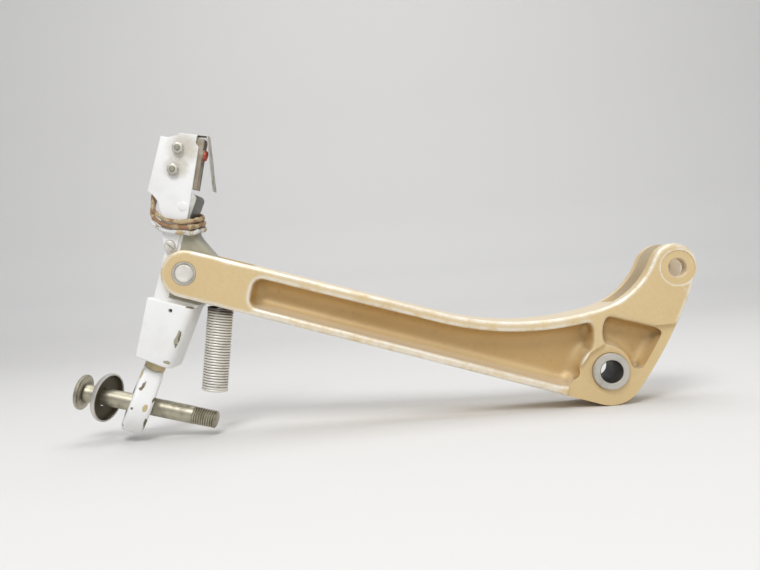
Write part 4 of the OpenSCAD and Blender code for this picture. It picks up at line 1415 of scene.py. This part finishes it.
class BELLCRANK_OT_stage(Piece):
    """Lays the floor, lights it and sets the camera at the photograph's place"""

    bl_idname = "bellcrank.stage"
    bl_label = "Stage"

    CAMERA = (-0.0969, -0.3397, 0.05185)
    PITCH, ROLL = math.radians(1.13), math.radians(4.6)
    LENS, SENSOR = 36.0, 36.0
    # The floor lies just under the part and curves up behind it: back and up, in metres
    FLOOR_GAP, FLOOR_HALF = 0.0003, 2.0
    BACKDROP = ((-1.6, 0), (0.45, 0), (0.58, 0.015), (0.66, 0.06), (0.7, 0.14), (0.72, 0.3), (0.72, 1.6))
    # Square lamps: where they stand, where they look, their size and their power
    LAMPS = (
        ("key", (-0.2, -0.6, 0.76), (-0.08, 0, 0.03), 0.4, 4.7),
        ("fill", (0.5, -0.7, 0.3), (-0.05, 0, 0.03), 0.7, 0.9),
        ("top", (-0.05, 0.15, 0.8), (-0.08, 0, 0.03), 0.6, 2.6),
    )
    SKY, SKY_STRENGTH = (0.95, 0.96, 1, 1), 0.47

    def build(self):
        self.camera()
        self.floor()
        for lamp in self.LAMPS:
            self.lamp(*lamp)
        world = bpy.data.worlds.new("studio")
        bpy.context.scene.world = world
        world.use_nodes = True
        sky = world.node_tree.nodes["Background"].inputs
        sky["Color"].default_value, sky["Strength"].default_value = self.SKY, self.SKY_STRENGTH
        bpy.context.scene.view_settings.view_transform = "Standard"

    def floor(self):
        ground, last = CAD_BOX[0][2] - self.FLOOR_GAP, len(self.BACKDROP) - 1
        deselect()
        bpy.ops.mesh.primitive_grid_add(x_subdivisions=1, y_subdivisions=last, size=2)
        floor = started("ground")
        for vert in floor.data.vertices:
            y, z = self.BACKDROP[round((vert.co.y + 1) / 2 * last)]
            vert.co = (math.copysign(self.FLOOR_HALF, vert.co.x), y, z + ground)
        floor.data.materials.append(Shade("pale_ground").finish(Base_Color=self.colours.ground, Roughness=0.9))
        take(floor)
        bpy.ops.object.shade_smooth()

    def placed(self, name, data):
        placed = bpy.data.objects.new(name, data)
        bpy.context.scene.collection.objects.link(placed)
        return placed

    def lamp(self, name, at, aim, size, power):
        data = bpy.data.lights.new(name, "AREA")
        data.size, data.energy = size, power
        lamp = self.placed(name, data)
        lamp.location = at
        lamp.rotation_euler = (Vector(aim) - Vector(at)).to_track_quat("-Z", "Y").to_euler()

    def camera(self):
        data = bpy.data.cameras.new("photo_camera")
        data.lens, data.sensor_width, data.sensor_fit = self.LENS, self.SENSOR, "HORIZONTAL"
        data.clip_start, data.clip_end = 0.01, 20
        camera = self.placed("photo_camera", data)
        level, upright = Vector((1, 0, 0)), Vector((0, math.sin(self.PITCH), math.cos(self.PITCH)))
        right = level * math.cos(self.ROLL) - upright * math.sin(self.ROLL)
        up = upright * math.cos(self.ROLL) + level * math.sin(self.ROLL)
        turn = Matrix((right, up, right.cross(up))).transposed().to_4x4()
        camera.matrix_world = Matrix.Translation(self.CAMERA) @ turn
        bpy.context.scene.camera = camera


class BELLCRANK_PT_panel(bpy.types.Panel):
    """Lists the pieces of the bellcrank"""

    bl_label = "Bellcrank"
    bl_idname = "BELLCRANK_PT_panel"
    bl_space_type = "VIEW_3D"
    bl_region_type = "UI"
    bl_category = "Bellcrank"

    def draw(self, context):
        for operator in PIECES:
            self.layout.operator(operator.bl_idname)


GROUPS = {"bellcrank_arm": ArmSizes, "bellcrank_link": LinkSizes, "bellcrank_switch": SwitchSizes,
          "bellcrank_finishes": Finishes}
PIECES = (BELLCRANK_OT_stage, BELLCRANK_OT_arm, BELLCRANK_OT_bushes, BELLCRANK_OT_link, BELLCRANK_OT_eye,
          BELLCRANK_OT_spring, BELLCRANK_OT_bracket, BELLCRANK_OT_switch, BELLCRANK_OT_fixings, BELLCRANK_OT_leads)
CLASSES = (*GROUPS.values(), *PIECES, BELLCRANK_PT_panel)


def register():
    for cls in CLASSES:
        bpy.utils.register_class(cls)
    for name, group in GROUPS.items():
        setattr(bpy.types.Scene, name, PointerProperty(type=group))


def unregister():
    for name in GROUPS:
        delattr(bpy.types.Scene, name)
    for cls in reversed(CLASSES):
        bpy.utils.unregister_class(cls)


def main():
    register()
    for operator in PIECES:
        family, name = operator.bl_idname.split(".")
        getattr(getattr(bpy.ops, family), name)()
    deselect()


if __name__ == "__main__":
    main()
